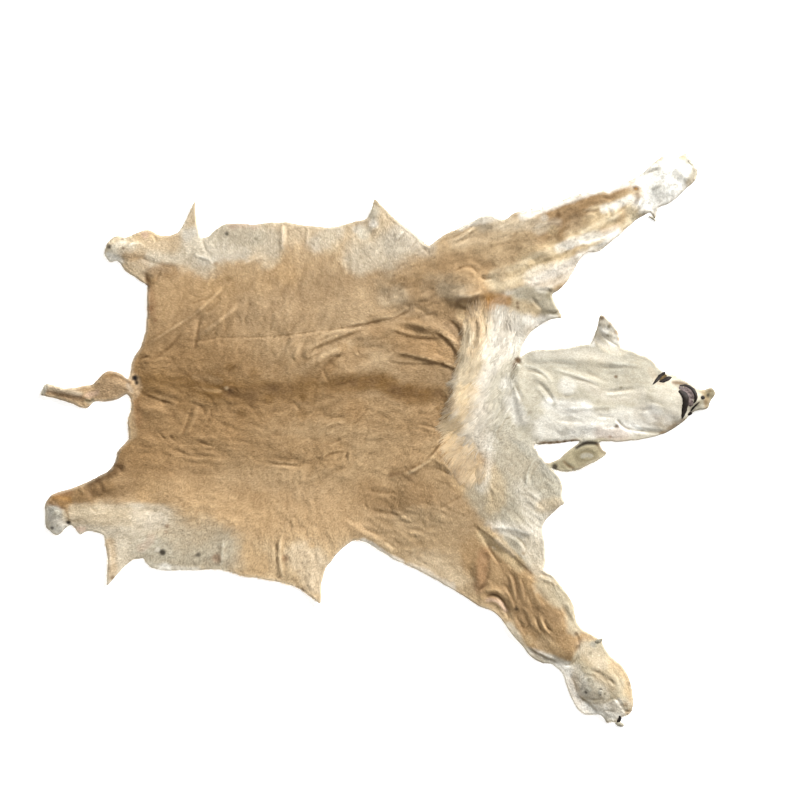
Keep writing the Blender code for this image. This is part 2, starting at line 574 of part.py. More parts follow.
def sheet_triangles(rings):
    """The skin seen from above as points and triangles, finer on folds than between them."""
    ring_row, field = field_points(rings)
    candidates = np.array(fold_points() + ring_row + field)
    here = candidates[:, :2]
    clear = edge_distance(here, rings) > EDGE_CLEARANCE_CM
    candidates = candidates[clear & inside(here, rings)]
    points, triangles, held_by = triangulate(rings, spread_out(candidates))
    skin = [t for t, holders in zip(triangles, held_by) if list(holders) == [0]]
    used = sorted({corner for t in skin for corner in t})
    number = {corner: i for i, corner in enumerate(used)}
    return points[used], [tuple(number[corner] for corner in t) for t in skin]


def fold_heights(points):
    """How far folds raise the skin, add to its thickness, and push it sideways."""
    raised = np.zeros(len(points))
    thicker = np.zeros(len(points))
    pushed = np.zeros((len(points), 2))
    varied = 1 + CREST_VARIES * noise_at(points, CREST_WAVE_CM, CREST_LAYER)
    for fold in FOLDS.values():
        distance, side, along, left = place_on(points, fold_line(fold))
        ends = smooth_step(along / FOLD_END_SHARE) * smooth_step((1 - along) / FOLD_END_SHARE)
        crest = np.exp(-((distance / fold.width_cm) ** 2)) * ends
        height = fold.height_mm * varied
        if fold.kind == "crease":
            thicker -= height * crest
        elif fold.kind == "step":
            behind = smooth_step((side * distance / fold.width_cm + 1) / 2)
            settled = np.exp(-np.maximum(side * distance, 0) / STEP_SETTLES_CM)
            raised += height * behind * settled * ends
        elif fold.height_mm > HOLLOW_FROM_MM:
            raised += height * crest
        else:
            thicker += height * crest
        pushed -= left * (fold.lean_cm * crest)[:, None]
    return raised, thicker, pushed


def mound_height(points):
    total = np.zeros(len(points))
    for mound in MOUNDS.values():
        turn = math.radians(mound.turn_deg)
        x, y = points[:, 0] - mound.x, points[:, 1] - mound.y
        along = (x * math.cos(turn) + y * math.sin(turn)) / (mound.length_cm / 2)
        across = (y * math.cos(turn) - x * math.sin(turn)) / (mound.width_cm / 2)
        total += mound.height_mm * smooth_step(1 - along**2 - across**2)
    return total


def curl_height(points):
    total = np.zeros(len(points))
    for curl in CURLS.values():
        distance = np.hypot(points[:, 0] - curl.x, points[:, 1] - curl.y)
        total += curl.lift_mm * smooth_step(1 - distance / curl.reach_cm)
    return total


def coat_thickness(points, rings):
    """Bare skin at the cut edge, with the coat lying thicker and thinner in patches inside it."""
    full = smooth_step(edge_distance(points, rings) / EDGE_FADE_CM)
    patches = BROAD_UNEVEN_MM * noise_at(points, BROAD_PATCH_CM, BROAD_LAYER)
    patches += SMALL_UNEVEN_MM * noise_at(points, SMALL_PATCH_CM, SMALL_LAYER)
    return SKIN_MM + full * (COAT_MM + patches), full


def build_hide():
    """The whole skin as one closed sheet, its upper and lower face joined round every edge."""
    rings = outline_rings()
    points, triangles = sheet_triangles(rings)
    raised, thicker, pushed = fold_heights(points)
    thickness, full = coat_thickness(points, rings)
    thickness += full * (thicker + mound_height(points))
    thickness = np.maximum(thickness, LEAST_THICKNESS_MM)
    raised = np.maximum(raised + curl_height(points) - FLAT_BELOW_MM, 0.0)
    placed = (points + pushed) * CM
    placed -= (placed.min(axis=0) + placed.max(axis=0)) / 2
    upper = np.column_stack([placed, (raised + thickness) * MM])
    lower = np.column_stack([placed, raised * MM])
    count = len(points)
    faces = list(triangles) + [tuple(corner + count for corner in reversed(t)) for t in triangles]
    for loop in rim_loops(triangles):
        for a, b in zip(loop, loop[1:] + loop[:1]):
            faces.append((b, a, a + count, b + count))
    mesh = bpy.data.meshes.new("hide")
    mesh.from_pydata(np.concatenate([upper, lower]).tolist(), [], faces)
    mesh.validate()
    hide = bpy.data.objects.new("hide", mesh)
    bpy.context.scene.collection.objects.link(hide)
    mesh.shade_smooth()
    mesh.set_sharp_from_angle(angle=math.radians(SHARP_ANGLE_DEG))
    return hide


def coat_material():
    """The fawn of a lion's back."""
    material = bpy.data.materials.new("fawn coat")
    material.use_nodes = True
    shader = material.node_tree.nodes["Principled BSDF"]
    shader.inputs["Base Color"].default_value = (0.42, 0.28, 0.14, 1.0)
    shader.inputs["Roughness"].default_value = 0.85
    shader.inputs["Metallic"].default_value = 0.0
    return material


def main():
    clear_scene()
    hide = build_hide()
    hide.data.materials.append(coat_material())


main()
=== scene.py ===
# %% [markdown]
# # Dressing a lion skin
#
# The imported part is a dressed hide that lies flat: it has the true outline, the big folds and the
# thickness. What makes it a lion is finer than that: small wrinkles, a short coat that changes
# colour from the spine to the belly, long pale hair on the neck, and the bare nose, pads and claws.
# Each cell below makes one of these. Tables are in centimetres from the middle of the skin, with
# the head towards +X and the far legs towards +Y.

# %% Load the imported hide
import math
from collections import namedtuple

import bpy
import numpy as np
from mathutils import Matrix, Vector
from mathutils.bvhtree import BVHTree
from mathutils.geometry import delaunay_2d_cdt
from mathutils.kdtree import KDTree


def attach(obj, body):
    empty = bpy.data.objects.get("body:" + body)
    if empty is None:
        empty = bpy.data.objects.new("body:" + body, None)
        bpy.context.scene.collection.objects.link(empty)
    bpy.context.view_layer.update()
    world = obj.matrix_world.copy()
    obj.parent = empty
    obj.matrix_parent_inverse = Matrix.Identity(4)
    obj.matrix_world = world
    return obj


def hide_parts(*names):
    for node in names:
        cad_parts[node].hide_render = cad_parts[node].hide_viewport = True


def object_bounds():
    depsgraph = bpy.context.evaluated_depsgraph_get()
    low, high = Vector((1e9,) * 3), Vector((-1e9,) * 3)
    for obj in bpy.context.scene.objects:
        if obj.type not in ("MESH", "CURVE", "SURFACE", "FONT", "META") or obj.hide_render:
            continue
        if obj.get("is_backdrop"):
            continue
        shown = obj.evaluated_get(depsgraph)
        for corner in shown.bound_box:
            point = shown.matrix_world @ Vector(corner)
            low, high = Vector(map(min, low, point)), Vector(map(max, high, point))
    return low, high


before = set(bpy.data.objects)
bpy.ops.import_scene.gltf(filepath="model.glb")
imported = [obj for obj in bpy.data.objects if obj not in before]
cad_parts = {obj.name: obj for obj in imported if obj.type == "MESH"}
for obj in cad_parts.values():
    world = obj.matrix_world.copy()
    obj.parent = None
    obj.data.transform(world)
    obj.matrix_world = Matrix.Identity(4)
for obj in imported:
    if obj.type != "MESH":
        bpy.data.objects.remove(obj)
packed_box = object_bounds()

CM = 0.01
MM = 0.001
print("the packed hide is", [round(high - low, 3) for low, high in zip(*packed_box)], "m")

# %% [markdown]
# ## The edge that the knife left
#
# A hide is one sheet, so its shape starts from its edge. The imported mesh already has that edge: it
# is where the faces that look up end. Reading it back is better than drawing it again, because
# the finer sheet then lies exactly on the solid that stands in for it.

# %% Find the edge of the hide
UPWARD = 0.02
TINY = 1e-12

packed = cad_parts["hide"].data
corners = np.empty(len(packed.vertices) * 3)
packed.vertices.foreach_get("co", corners)
spots, spot_of = np.unique(corners.reshape(-1, 3).round(6), axis=0, return_inverse=True)
packed_faces = spot_of.ravel()[np.array([tuple(p.vertices) for p in packed.polygons])]


def face_spans(points, faces):
    """For each triangle a vector square to it, as long as twice its area."""
    first, second, third = (points[faces[:, k]] for k in range(3))
    return np.cross(second - first, third - first)


def unit(vectors):
    return vectors / np.maximum(np.linalg.norm(vectors, axis=1), TINY)[:, None]


def open_loops(faces):
    """The closed loops of edges that belong to one face only."""
    edges = {(f[k], f[(k + 1) % 3]) for f in faces.tolist() for k in range(3)}
    following = {a: b for a, b in edges if (b, a) not in edges}
    loops = []
    while following:
        loop = [min(following)]
        while loop[-1] in following:
            loop.append(following.pop(loop[-1]))
        loops.append(loop[:-1])
    return sorted(loops, key=len, reverse=True)


upper_faces = packed_faces[unit(face_spans(spots, packed_faces))[:, 2] > UPWARD]
packed_rings = [spots[loop, :2] / CM for loop in open_loops(upper_faces)]
print("edge loops with", [len(ring) for ring in packed_rings], "points")

# %% [markdown]
# ## Smooth waves to break up what is too even
#
# Nothing on a hide is regular. One small helper gives smooth random waves of any length, and every
# later step borrows it: for the torn edge, for wrinkles, for the way the hair lies and for its
# colour. It is the lattice noise of the Noise Texture node, written out so that meshes can use it.

# %% A helper for waves
LATTICE = 64
WAVE_GAIN = 1.5


def waves(places, wave_cm, layer):
    """Smooth waves of about this length at places in cm, mostly from -1 to 1; each layer has its own."""
    slopes = np.random.default_rng(layer).uniform(0, 2 * math.pi, (LATTICE, LATTICE))
    spin = np.array([[math.cos(layer), -math.sin(layer)], [math.sin(layer), math.cos(layer)]])
    spun = places @ spin / wave_cm
    cell = np.floor(spun).astype(int)
    part = spun - cell
    ease = part * part * part * (part * (part * 6 - 15) + 10)
    total = np.zeros(len(places))
    for i in (0, 1):
        for j in (0, 1):
            slope = slopes[(cell[:, 0] + i) % LATTICE, (cell[:, 1] + j) % LATTICE]
            pull = np.cos(slope) * (part[:, 0] - i) + np.sin(slope) * (part[:, 1] - j)
            share_x = ease[:, 0] if i else 1 - ease[:, 0]
            share_y = ease[:, 1] if j else 1 - ease[:, 1]
            total += share_x * share_y * pull
    return total * WAVE_GAIN


def wander(places, wave_cm, layer):
    """Two sets of waves, as a step in x and in y for each place."""
    return np.column_stack([waves(places, wave_cm, layer), waves(places, wave_cm, layer + 1)])


def smooth(share):
    """Goes from 0 to 1 with no corner at either end."""
    share = np.clip(share, 0.0, 1.0)
    return share * share * (3 - 2 * share)


def drawn_out(places, toward_deg, times):
    """Places pressed together along one way, so that waves over them come out longer that way."""
    toward = math.radians(toward_deg)
    way = np.array([math.cos(toward), math.sin(toward)])
    return places - np.outer(places @ way, way) * (1 - 1 / times)


print("waves reach", waves(np.random.default_rng(0).uniform(-50, 50, (5000, 2)), 4, 1).max().round(2))

# %% [markdown]
# ## A sheet fine enough for wrinkles
#
# The sheet is cut along the edge and filled with a fine honeycomb of points. A grid of squares
# would show as rows in the light, while a honeycomb that is shaken a little shows nothing. The
# head and the near foreleg have the sharpest creases, so their points are closer together. The
# flesh side needs far fewer.

# %% Tear the edge a little
RIM_STEP_CM = 0.5
RIM_LEAST_CM = 0.28
RIM_TORN_CM, RIM_WAVE_CM = 0.09, 1.7


def torn_ring(ring):
    """A closed ring with small steps, soft corners and the raggedness of a dried edge."""
    found = []
    for a, b in zip(ring, np.roll(ring, -1, axis=0)):
        steps = max(1, round(np.linalg.norm(b - a) / RIM_STEP_CM))
        found += [a + (b - a) * t for t in np.arange(steps) / steps]
    found = np.array(found)
    for _ in range(2):
        found = found / 2 + (np.roll(found, 1, axis=0) + np.roll(found, -1, axis=0)) / 4
    found += RIM_TORN_CM * wander(found, RIM_WAVE_CM, 11)
    kept = [found[0]]
    for place in found[1:]:
        if min(np.linalg.norm(place - kept[-1]), np.linalg.norm(place - kept[0])) > RIM_LEAST_CM:
            kept.append(place)
    return np.array(kept)


rims = [torn_ring(ring) for ring in packed_rings]
rim_points = np.concatenate(rims)
print("the torn edge has", len(rim_points), "points")

# %% Cut the sheet
GRAIN_PITCH_CM = 0.48
FINE_PITCH_CM = 0.36
FLESH_PITCH_CM = 2.0
SHAKEN = 0.14
ROW_SHARE = 0.866
CLEAR_OF_RIM = 0.62
SAME_POINT_CM = 1e-6
# a line's two ends and half its width, in cm: the head, the far ear, the near foreleg
FINE_PARTS = ((44, 11, 86, 11, 15), (60, 26, 64, 32, 5), (32, -36, 66, -76, 13))


def inside(points, rings):
    """Whether a line from each point to the right crosses the rings an odd number of times."""
    crossings = np.zeros(len(points), int)
    for ring in rings:
        for (ax, ay), (bx, by) in zip(ring, np.roll(ring, -1, axis=0)):
            if ay != by:
                spans = (ay > points[:, 1]) != (by > points[:, 1])
                at_x = ax + (points[:, 1] - ay) * (bx - ax) / (by - ay)
                crossings += spans & (points[:, 0] < at_x)
    return crossings % 2 == 1


def tree_of(places):
    """A search tree that finds the nearest of many places quickly."""
    tree = KDTree(len(places))
    for i, (x, y) in enumerate(places):
        tree.insert((x, y, 0), i)
    tree.balance()
    return tree


rim_tree = tree_of(rim_points)


def rim_distance(points):
    return np.array([rim_tree.find((x, y, 0))[2] for x, y in points])


def in_fine_part(points):
    found = np.zeros(len(points), bool)
    for ax, ay, bx, by, half in FINE_PARTS:
        a, run = np.array([ax, ay]), np.array([bx - ax, by - ay])
        share = np.clip((points - a) @ run / (run @ run), 0, 1)
        found |= np.linalg.norm(points - a - share[:, None] * run, axis=1) < half
    return found


def honeycomb(pitch, layer):
    """Points inside the edge, a pitch apart and shaken a little."""
    low, high = rims[0].min(axis=0), rims[0].max(axis=0)
    rows = np.arange(low[1], high[1], pitch * ROW_SHARE)
    columns = np.arange(low[0], high[0], pitch)
    x = columns[None, :] + pitch / 2 * (np.arange(len(rows)) % 2)[:, None]
    grid = np.column_stack([x.ravel(), np.repeat(rows, len(columns))])
    grid += np.random.default_rng(layer).normal(0, SHAKEN * pitch, grid.shape)
    grid = grid[inside(grid, rims)]
    return grid[rim_distance(grid) > CLEAR_OF_RIM * min(pitch, GRAIN_PITCH_CM)]


def cut_sheet(filling):
    """The rim's points, then the filling's, and triangles over all of them."""
    points = np.concatenate([rim_points, filling])
    loops, start = [], 0
    for ring in rims:
        loops.append(list(range(start, start + len(ring))))
        start += len(ring)
    outer, *gaps = loops
    outlines = [outer] + [gap[::-1] for gap in gaps]
    found, _, triangles, _, _, held_by = delaunay_2d_cdt(
        [Vector(p) for p in points], [], outlines, 0, SAME_POINT_CM, True
    )
    if len(found) != len(points):
        raise ValueError(f"the edge crosses itself at {[tuple(p) for p in found[len(points):]]}")
    skin = np.array([t for t, holders in zip(triangles, held_by) if list(holders) == [0]])
    return np.array([tuple(p) for p in found]), skin


coarse = honeycomb(GRAIN_PITCH_CM, 21)
fine = honeycomb(FINE_PITCH_CM, 22)
filling = np.concatenate([coarse[~in_fine_part(coarse)], fine[in_fine_part(fine)]])
grain, grain_faces = cut_sheet(filling)
flesh, flesh_faces = cut_sheet(honeycomb(FLESH_PITCH_CM, 23))
print("upper face", len(grain_faces), "triangles, flesh side", len(flesh_faces), "triangles")

# %% [markdown]
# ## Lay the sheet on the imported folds
#
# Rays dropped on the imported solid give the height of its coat, and rays from below give how far
# its underside is off the floor. The solid is faceted, so the heights are averaged with their
# neighbours until the facets are gone.

# %% Drop the sheet on the solid
SETTLE_ROUNDS = 8
HIGH_UP, FAR_DOWN = 0.2, -0.05
# where a ray just misses the edge, the nearest face is looked for from this height or from the floor
OVER_COAT = 0.02

solid = BVHTree.FromPolygons(spots.tolist(), packed_faces.tolist())


def heights_from(places, start, way):
    """Where a ray straight down or up first meets the solid, in metres."""
    found = []
    for x, y in places * CM:
        hit = solid.ray_cast((x, y, start), (0, 0, way))[0]
        found.append((hit or solid.find_nearest((x, y, OVER_COAT if way < 0 else 0))[0]).z)
    return np.array(found)


def settled(heights, faces, rounds, pull=0.6):
    """Heights averaged with their neighbours a few times."""
    ends = np.concatenate([faces[:, [0, 1]], faces[:, [1, 2]], faces[:, [2, 0]]])
    count = np.bincount(ends.ravel(), minlength=len(heights))
    for _ in range(rounds):
        total = np.bincount(ends[:, 0], heights[ends[:, 1]], len(heights))
        total += np.bincount(ends[:, 1], heights[ends[:, 0]], len(heights))
        heights = heights + pull * (total / np.maximum(count, 1) - heights)
    return heights


coat_top = settled(heights_from(grain, HIGH_UP, -1), grain_faces, SETTLE_ROUNDS)
lifted = settled(heights_from(grain, FAR_DOWN, 1), grain_faces, SETTLE_ROUNDS)
flesh_lifted = settled(heights_from(flesh, FAR_DOWN, 1), flesh_faces, 1)
grain_edge = rim_distance(grain)
print("coat top from", (coat_top.min() / MM).round(1), "to", (coat_top.max() / MM).round(1), "mm")

# %% [markdown]
# ## Wrinkles placed one by one
#
# A dried hide keeps every pull of the tanner's frame as a wrinkle. Some are narrow creases, some
# soft ridges, and some are laps, where one side of a wrinkle lies over the other. Each bracket is
# one wrinkle: three places that it runs through, its width in cm and its height in mm. Sculpting
# would work too, but a table can be read, changed and repeated.

# %% The wrinkles
# x1, y1, x2, y2, x3, y3, width in cm, depth in mm
CREASES = (
    # rump
    (-65.6, 20.5, -65.3, 22.4, -62.5, 23.2, 0.45, 3.2), (-64.5, 21.5, -63.8, 21, -63, 20.8, 0.35, 2),
    (-67, 18, -66.6, 16.8, -66, 15.2, 0.7, 3.5), (-50, 14.4, -47, 13.6, -43.5, 13.9, 0.35, 1.8),
    (-41, 12.6, -40.2, 14.6, -38.5, 13.4, 0.35, 1.6), (-62.5, 22, -57, 26, -54, 30.4, 0.8, 2.4),
    (-48.6, 34.6, -49.5, 29.8, -50.5, 24, 0.6, 3.2), (-53, 27.6, -49, 27.4, -43.5, 28.6, 0.38, 1.8),
    (-43, 39.6, -45, 37, -48, 35, 0.7, 2.2), (-52, 37.2, -49, 38.4, -46, 39.4, 0.4, 2.2),
    (-38.6, 23, -37.6, 26, -33, 28, 0.4, 1.5), (-34, 9.6, -32.4, 7.8, -31.5, 6, 0.35, 1.5),
    (-60.5, 2.5, -59.4, 1.2, -58, 0.2, 0.35, 2), (-57.4, 1.8, -56.2, 0.2, -55, 0, 0.35, 2.2),
    (-54.6, 0.5, -52.6, 4.4, -51, 10, 0.45, 2.4), (-49.5, 9.8, -48, 8.8, -47.6, 6.8, 0.35, 1.8),
    (-46, 9, -45.8, 7.6, -45.4, 6, 0.35, 1.5), (-44.4, 1.6, -43.6, 2.2, -42.6, 3.2, 0.35, 1.5),
    (-50, 0, -47, -1, -44.5, -1.6, 0.38, 2.4), (-54.6, -3, -51, -4.2, -46, -4.6, 0.4, 1.8),
    (-55.5, -2.7, -54.2, -3, -53, -3.6, 0.35, 1.8),
    # back
    (-45, 28.3, -36, 28.4, -28, 28.6, 0.35, 1.6), (-29, 28.6, -22, 29.4, -16, 30.2, 0.35, 1.8),
    (-17, 30.2, -12, 30.6, -7, 31.4, 0.4, 2.2), (-16.4, 18.6, -13, 21.6, -9, 24, 0.7, 2.2),
    (-36.5, 10.4, -33.6, 8, -32, 4.6, 0.5, 1.8), (-45.4, 8.6, -46.4, 6.4, -46.8, 4, 0.4, 1.6),
    (-41.6, 17.4, -40.6, 19.4, -38.6, 20.4, 0.5, 1.6), (-20.6, 8.6, -22.4, 9.4, -23.6, 11.4, 0.5, 1.6),
    (-14.4, 21.4, -12, 22.8, -10, 23.6, 0.4, 1.9), (-15, 20, -14.4, 18, -13.6, 16, 0.4, 1.6),
    (-23.5, 23, -23, 22, -22.5, 21, 0.32, 1.4), (-6, 24.8, -5.3, 24.2, -4.6, 23.8, 0.35, 2),
    (3, 22, 3.5, 21.6, 4, 21.4, 0.32, 1.5), (-25.5, 6.4, -24, 7.6, -23, 9, 0.35, 1.8),
    (-16, 5, -12.4, 6.2, -9, 6.4, 0.4, 1.4), (-8, 3.5, -5, 6, -2.5, 9.5, 0.45, 1.9),
    (-14, -1, -12.2, -0.6, -10.4, 0.4, 0.4, 2.2), (-8.5, -2.8, -8.7, -4, -9.2, -5.2, 0.38, 3),
    (-4, -0.6, -3.2, 1.6, -2.4, 3.6, 0.35, 1.2), (-30.8, -6.2, -25, -6.7, -20.2, -7.1, 0.36, 2.3),
    (-28, -2, -27, -1.6, -26, -1.4, 0.3, 1.4), (-35, -7, -34.9, -8.8, -34.4, -10.6, 0.35, 1.4),
    (19, 33, 21.6, 31.4, 22.9, 27.6, 0.6, 3.4), (15, 24.6, 16.8, 23.8, 18.4, 23, 0.4, 1.6),
    (10, 4.6, 14, 4, 18.4, 2.2, 0.36, 2), (15, -7, 18, -8.4, 20.3, -9.8, 0.42, 2.6),
    # far shoulder and flank
    (24, 38.3, 26.8, 37.8, 29.6, 39.6, 0.8, 2.4), (20.3, 46, 24.8, 47.9, 28, 45.2, 0.5, 2.8),
    (28, 45.4, 29.6, 44.4, 32.2, 45.2, 0.5, 3), (9, 36.6, 11.4, 36.2, 14, 34.8, 0.5, 1.8),
    (12, 34.4, 14, 34.6, 16.4, 35.2, 0.4, 1.5), (5, 47.2, 6.2, 48, 7.4, 48.2, 0.4, 1.4),
    (9, 52.8, 10, 54, 10.8, 54.8, 0.35, 1.6), (12, 53.2, 13.2, 52.2, 14.2, 51.2, 0.35, 1.9),
    (5, 54.6, 6.4, 55.8, 7.6, 56.9, 0.35, 1.8), (19.4, 55.4, 22.4, 56.8, 27, 59.6, 0.4, 2.4),
    (22, 54.8, 24.6, 55.8, 26, 58, 0.4, 2), (-24.6, 52, -24.8, 56, -24.4, 59.6, 0.5, 1.4),
    (-48.2, 55.8, -47.4, 53, -46.4, 50.4, 0.4, 1.4), (-62, 57, -61.2, 55.8, -60.6, 54.4, 0.35, 2.6),
    (-64, 46.5, -63.4, 44.6, -63.2, 42.8, 0.7, 3.2), (-61, 44, -60.4, 45.4, -59.6, 46.8, 0.4, 2.2),
    (-66, 50.4, -60, 48.6, -55, 47.6, 0.5, 1.3),
    # near side
    (-3.5, -12.5, 0, -14, 6, -14.2, 0.7, 2), (-3.6, -17, -3.2, -18, -2.6, -19, 0.35, 1.9),
    (-9, -20.5, -7.4, -21.8, -5.8, -22.8, 0.5, 1.4), (-4.6, -23.9, -2, -24.9, 0.6, -26.2, 0.45, 2.8),
    (1.4, -27, 3, -28, 4.6, -29.4, 0.45, 2), (-27.8, -27, -28, -31, -27.4, -35, 0.5, 1.4),
    (15.6, -19.4, 20, -16.8, 24.4, -14.6, 0.5, 1.8), (-71.6, -6.8, -70.8, -7.6, -69.8, -8.6, 0.6, 3.2),
    (-90, -16.2, -87.6, -17.6, -85.2, -19.2, 0.35, 1.4), (-79, -18, -78, -19, -76.8, -20, 0.35, 1.6),
    (-79.4, -13.2, -78.6, -14.6, -77.8, -15.8, 0.6, 2.4), (-77, -11.4, -76, -12.6, -75.4, -14.4, 0.5, 2.2),
    # tail
    (-80.6, 11.2, -79.4, 10.8, -78, 11.4, 0.4, 3), (-72.6, 17.8, -70.4, 17.3, -68.2, 16, 0.4, 1.8),
    (-91, 13.6, -86, 12.4, -80.6, 11.6, 0.7, 2),
    # neck and chest
    (26.4, 33.6, 26.8, 29, 25.2, 25, 0.36, 2.6), (29, 33.8, 29.2, 30, 28.4, 26, 0.4, 1.5),
    (23.6, 34, 24.2, 31, 23.8, 28, 0.34, 2), (31.6, 22.6, 32.3, 23.1, 33, 24, 0.45, 2),
    (33.6, 24.4, 33.8, 22.8, 33.2, 21, 0.5, 1.4), (30, 20.6, 31, 21.4, 32.2, 21.8, 0.5, 1.5),
    (34, 4.6, 34.8, 5.6, 36, 6.6, 0.36, 2), (30, 4, 32.6, 7, 35.4, 9.8, 0.4, 1.5),
    (28.4, 9, 29.4, 7.6, 30.6, 5.6, 0.36, 1.4), (31, -11.2, 32, -12.6, 33.2, -13.8, 0.36, 1.8),
    (30.6, -13, 31.2, -15, 31.6, -17, 0.4, 1.4), (45, -5.6, 42.6, -8.4, 41.8, -12, 0.4, 1.4),
    (35.6, -25.4, 39.4, -27.6, 41, -31, 0.45, 1.8), (44, 41, 46, 41.3, 48, 40.6, 0.4, 1.6),
    (42, 39.4, 43.8, 37.4, 45.4, 35.8, 0.4, 1.8), (45.4, 35.7, 48, 35, 50, 35.8, 0.4, 2.2),
    # near foreleg
    (25.6, -23, 28.6, -26, 31, -31, 0.4, 1.4), (30.6, -29.6, 32.2, -32, 33.8, -34.2, 0.4, 2),
    (30, -42.8, 33.2, -42.9, 35.6, -47, 0.42, 3.8), (27.8, -41.2, 29, -40.2, 30.4, -39, 0.4, 2.2),
    (34.5, -39, 36.4, -42, 38.2, -46.4, 0.45, 3.6), (36.2, -35.6, 38, -39.6, 38.1, -45, 0.5, 3),
    (38, -48, 39, -50, 40.4, -52, 0.45, 3), (40.4, -52, 41, -51.2, 41.6, -50.2, 0.36, 2),
    (39.4, -37.6, 40.4, -41, 40.8, -44.4, 0.45, 2.5), (41, -41, 42, -44.4, 43, -47.2, 0.45, 2),
    (43.3, -48, 44, -50.2, 45.2, -52.6, 0.4, 3.4), (45.5, -48.8, 46.4, -51, 48, -52.4, 0.4, 3.4),
    (35.2, -46.4, 35.6, -47.8, 36.2, -49.2, 0.5, 2.6), (50.4, -61, 53, -61.4, 55.2, -58.4, 0.4, 2.4),
    (55.2, -58.4, 55.3, -56, 54.6, -52.6, 0.4, 2.2), (44, -36.6, 46.4, -37, 48.6, -38, 0.45, 2.8),
    (50.4, -45, 51.4, -47, 52.8, -49.2, 0.4, 1.4), (58, -62.8, 60, -63.4, 62.2, -64.8, 0.4, 2),
    (63, -65.2, 64, -66, 65.2, -67.2, 0.36, 2.6), (55.2, -70.2, 58, -72.2, 60.8, -74.7, 0.4, 3),
    (57.4, -71.6, 59, -72.2, 60.6, -72.2, 0.35, 1.6), (61.3, -72.4, 62.8, -71.4, 64.4, -70.2, 0.4, 1.8),
    (61.4, -75, 63, -74, 65.4, -74.8, 0.35, 1.8), (64.4, -70.2, 66, -71.4, 67, -73.4, 0.35, 2.2),
    (67, -73.4, 68.6, -74.4, 70, -74.2, 0.35, 2), (55.4, -66.4, 57, -64.6, 59.8, -64.4, 0.4, 1.8),
    (59.8, -64.4, 62.4, -65.4, 63.4, -68, 0.4, 1.6), (56.4, -70, 59, -71, 62, -70.4, 0.4, 1.6),
    (64, -62.4, 66, -65, 67, -68.4, 0.4, 1.6), (52.4, -63.8, 54, -66.8, 54.6, -70, 0.4, 1.6),
    # far foreleg
    (50, 50.4, 54, 53, 58, 53.4, 0.5, 1.8), (55, 54.6, 60, 55.6, 65.4, 57.8, 0.4, 1.6),
    (57, 52, 61, 53, 66, 56, 0.5, 1.6), (56.4, 62.4, 58.4, 62.9, 60.4, 62.9, 0.4, 2.2),
    (61.2, 66.9, 62.8, 66.6, 64.4, 66.4, 0.4, 2.2), (63, 64, 64, 62.4, 63.6, 61, 0.5, 1.4),
    (70, 62.4, 71.8, 63.8, 73, 66, 0.4, 1.8), (70.6, 60.8, 72.6, 62, 75.4, 61.4, 0.5, 2.2),
    (72, 72.4, 74.6, 73.8, 77.4, 74.6, 0.45, 1.7),
    # head
    (37.4, 17.2, 38.1, 14.6, 39.8, 10.4, 0.42, 2.8), (38, 22.8, 38.5, 21.6, 39.8, 20.8, 0.45, 3.4),
    (37.6, 21, 37.5, 20, 37.6, 18.6, 0.45, 1.6), (40, 19.2, 44.4, 18.4, 47.8, 15.8, 0.4, 2),
    (43.4, 16.2, 46.4, 13.6, 48.6, 9.8, 0.4, 2.1), (50.6, 12.2, 52.4, 12.2, 54.2, 12.9, 0.4, 2),
    (52, 17, 56.4, 16.4, 61.4, 14.4, 0.4, 1.8), (42, 20.6, 48, 21.4, 54.6, 20.6, 0.5, 1.7),
    (56, 19.6, 59.4, 17.8, 63.4, 16.2, 0.5, 1.6), (61.6, 13.3, 66, 13.7, 71, 14.4, 0.35, 2.1),
    (59.6, 6.7, 62.6, 6.6, 65.4, 6.5, 0.4, 1.6), (65.4, 6.4, 67.4, 3.8, 70, 2.9, 0.4, 2.8),
    (70, 2.9, 74.6, 2.5, 79.4, 2.2, 0.4, 3), (61.6, 3.6, 64, 3.8, 66.8, 3.8, 0.35, 1.6),
    (71.4, 8.4, 73.4, 8.4, 75.4, 8.9, 0.35, 1.6), (74, 10.6, 76.4, 10.4, 78.8, 9.4, 0.35, 1.4),
    (40.4, 5.6, 41, 7, 42, 8.4, 0.6, 1.6), (48, 6, 52, 5.4, 57, 5.2, 0.4, 1.3),
    (60, 20.2, 65, 20, 70, 20.4, 0.4, 1.3), (61.4, 29.2, 63.4, 27.6, 66.2, 25.9, 0.3, 1.4),
    (54.4, -2.2, 56.6, -0.9, 60.2, -0.9, 0.5, 3.8), (45, -0.7, 49.6, -0.5, 54.4, 0, 0.5, 3.6),
    (55, -4, 57.2, -2.9, 59.4, -4, 0.32, 2), (55.2, -4.6, 57.4, -5.6, 59.6, -4.6, 0.32, 2),
    (51, -3, 52, -2.2, 53, -1.6, 0.35, 1.8), (51.2, -5.8, 52.2, -6.8, 53.8, -7.6, 0.4, 2.2),
)

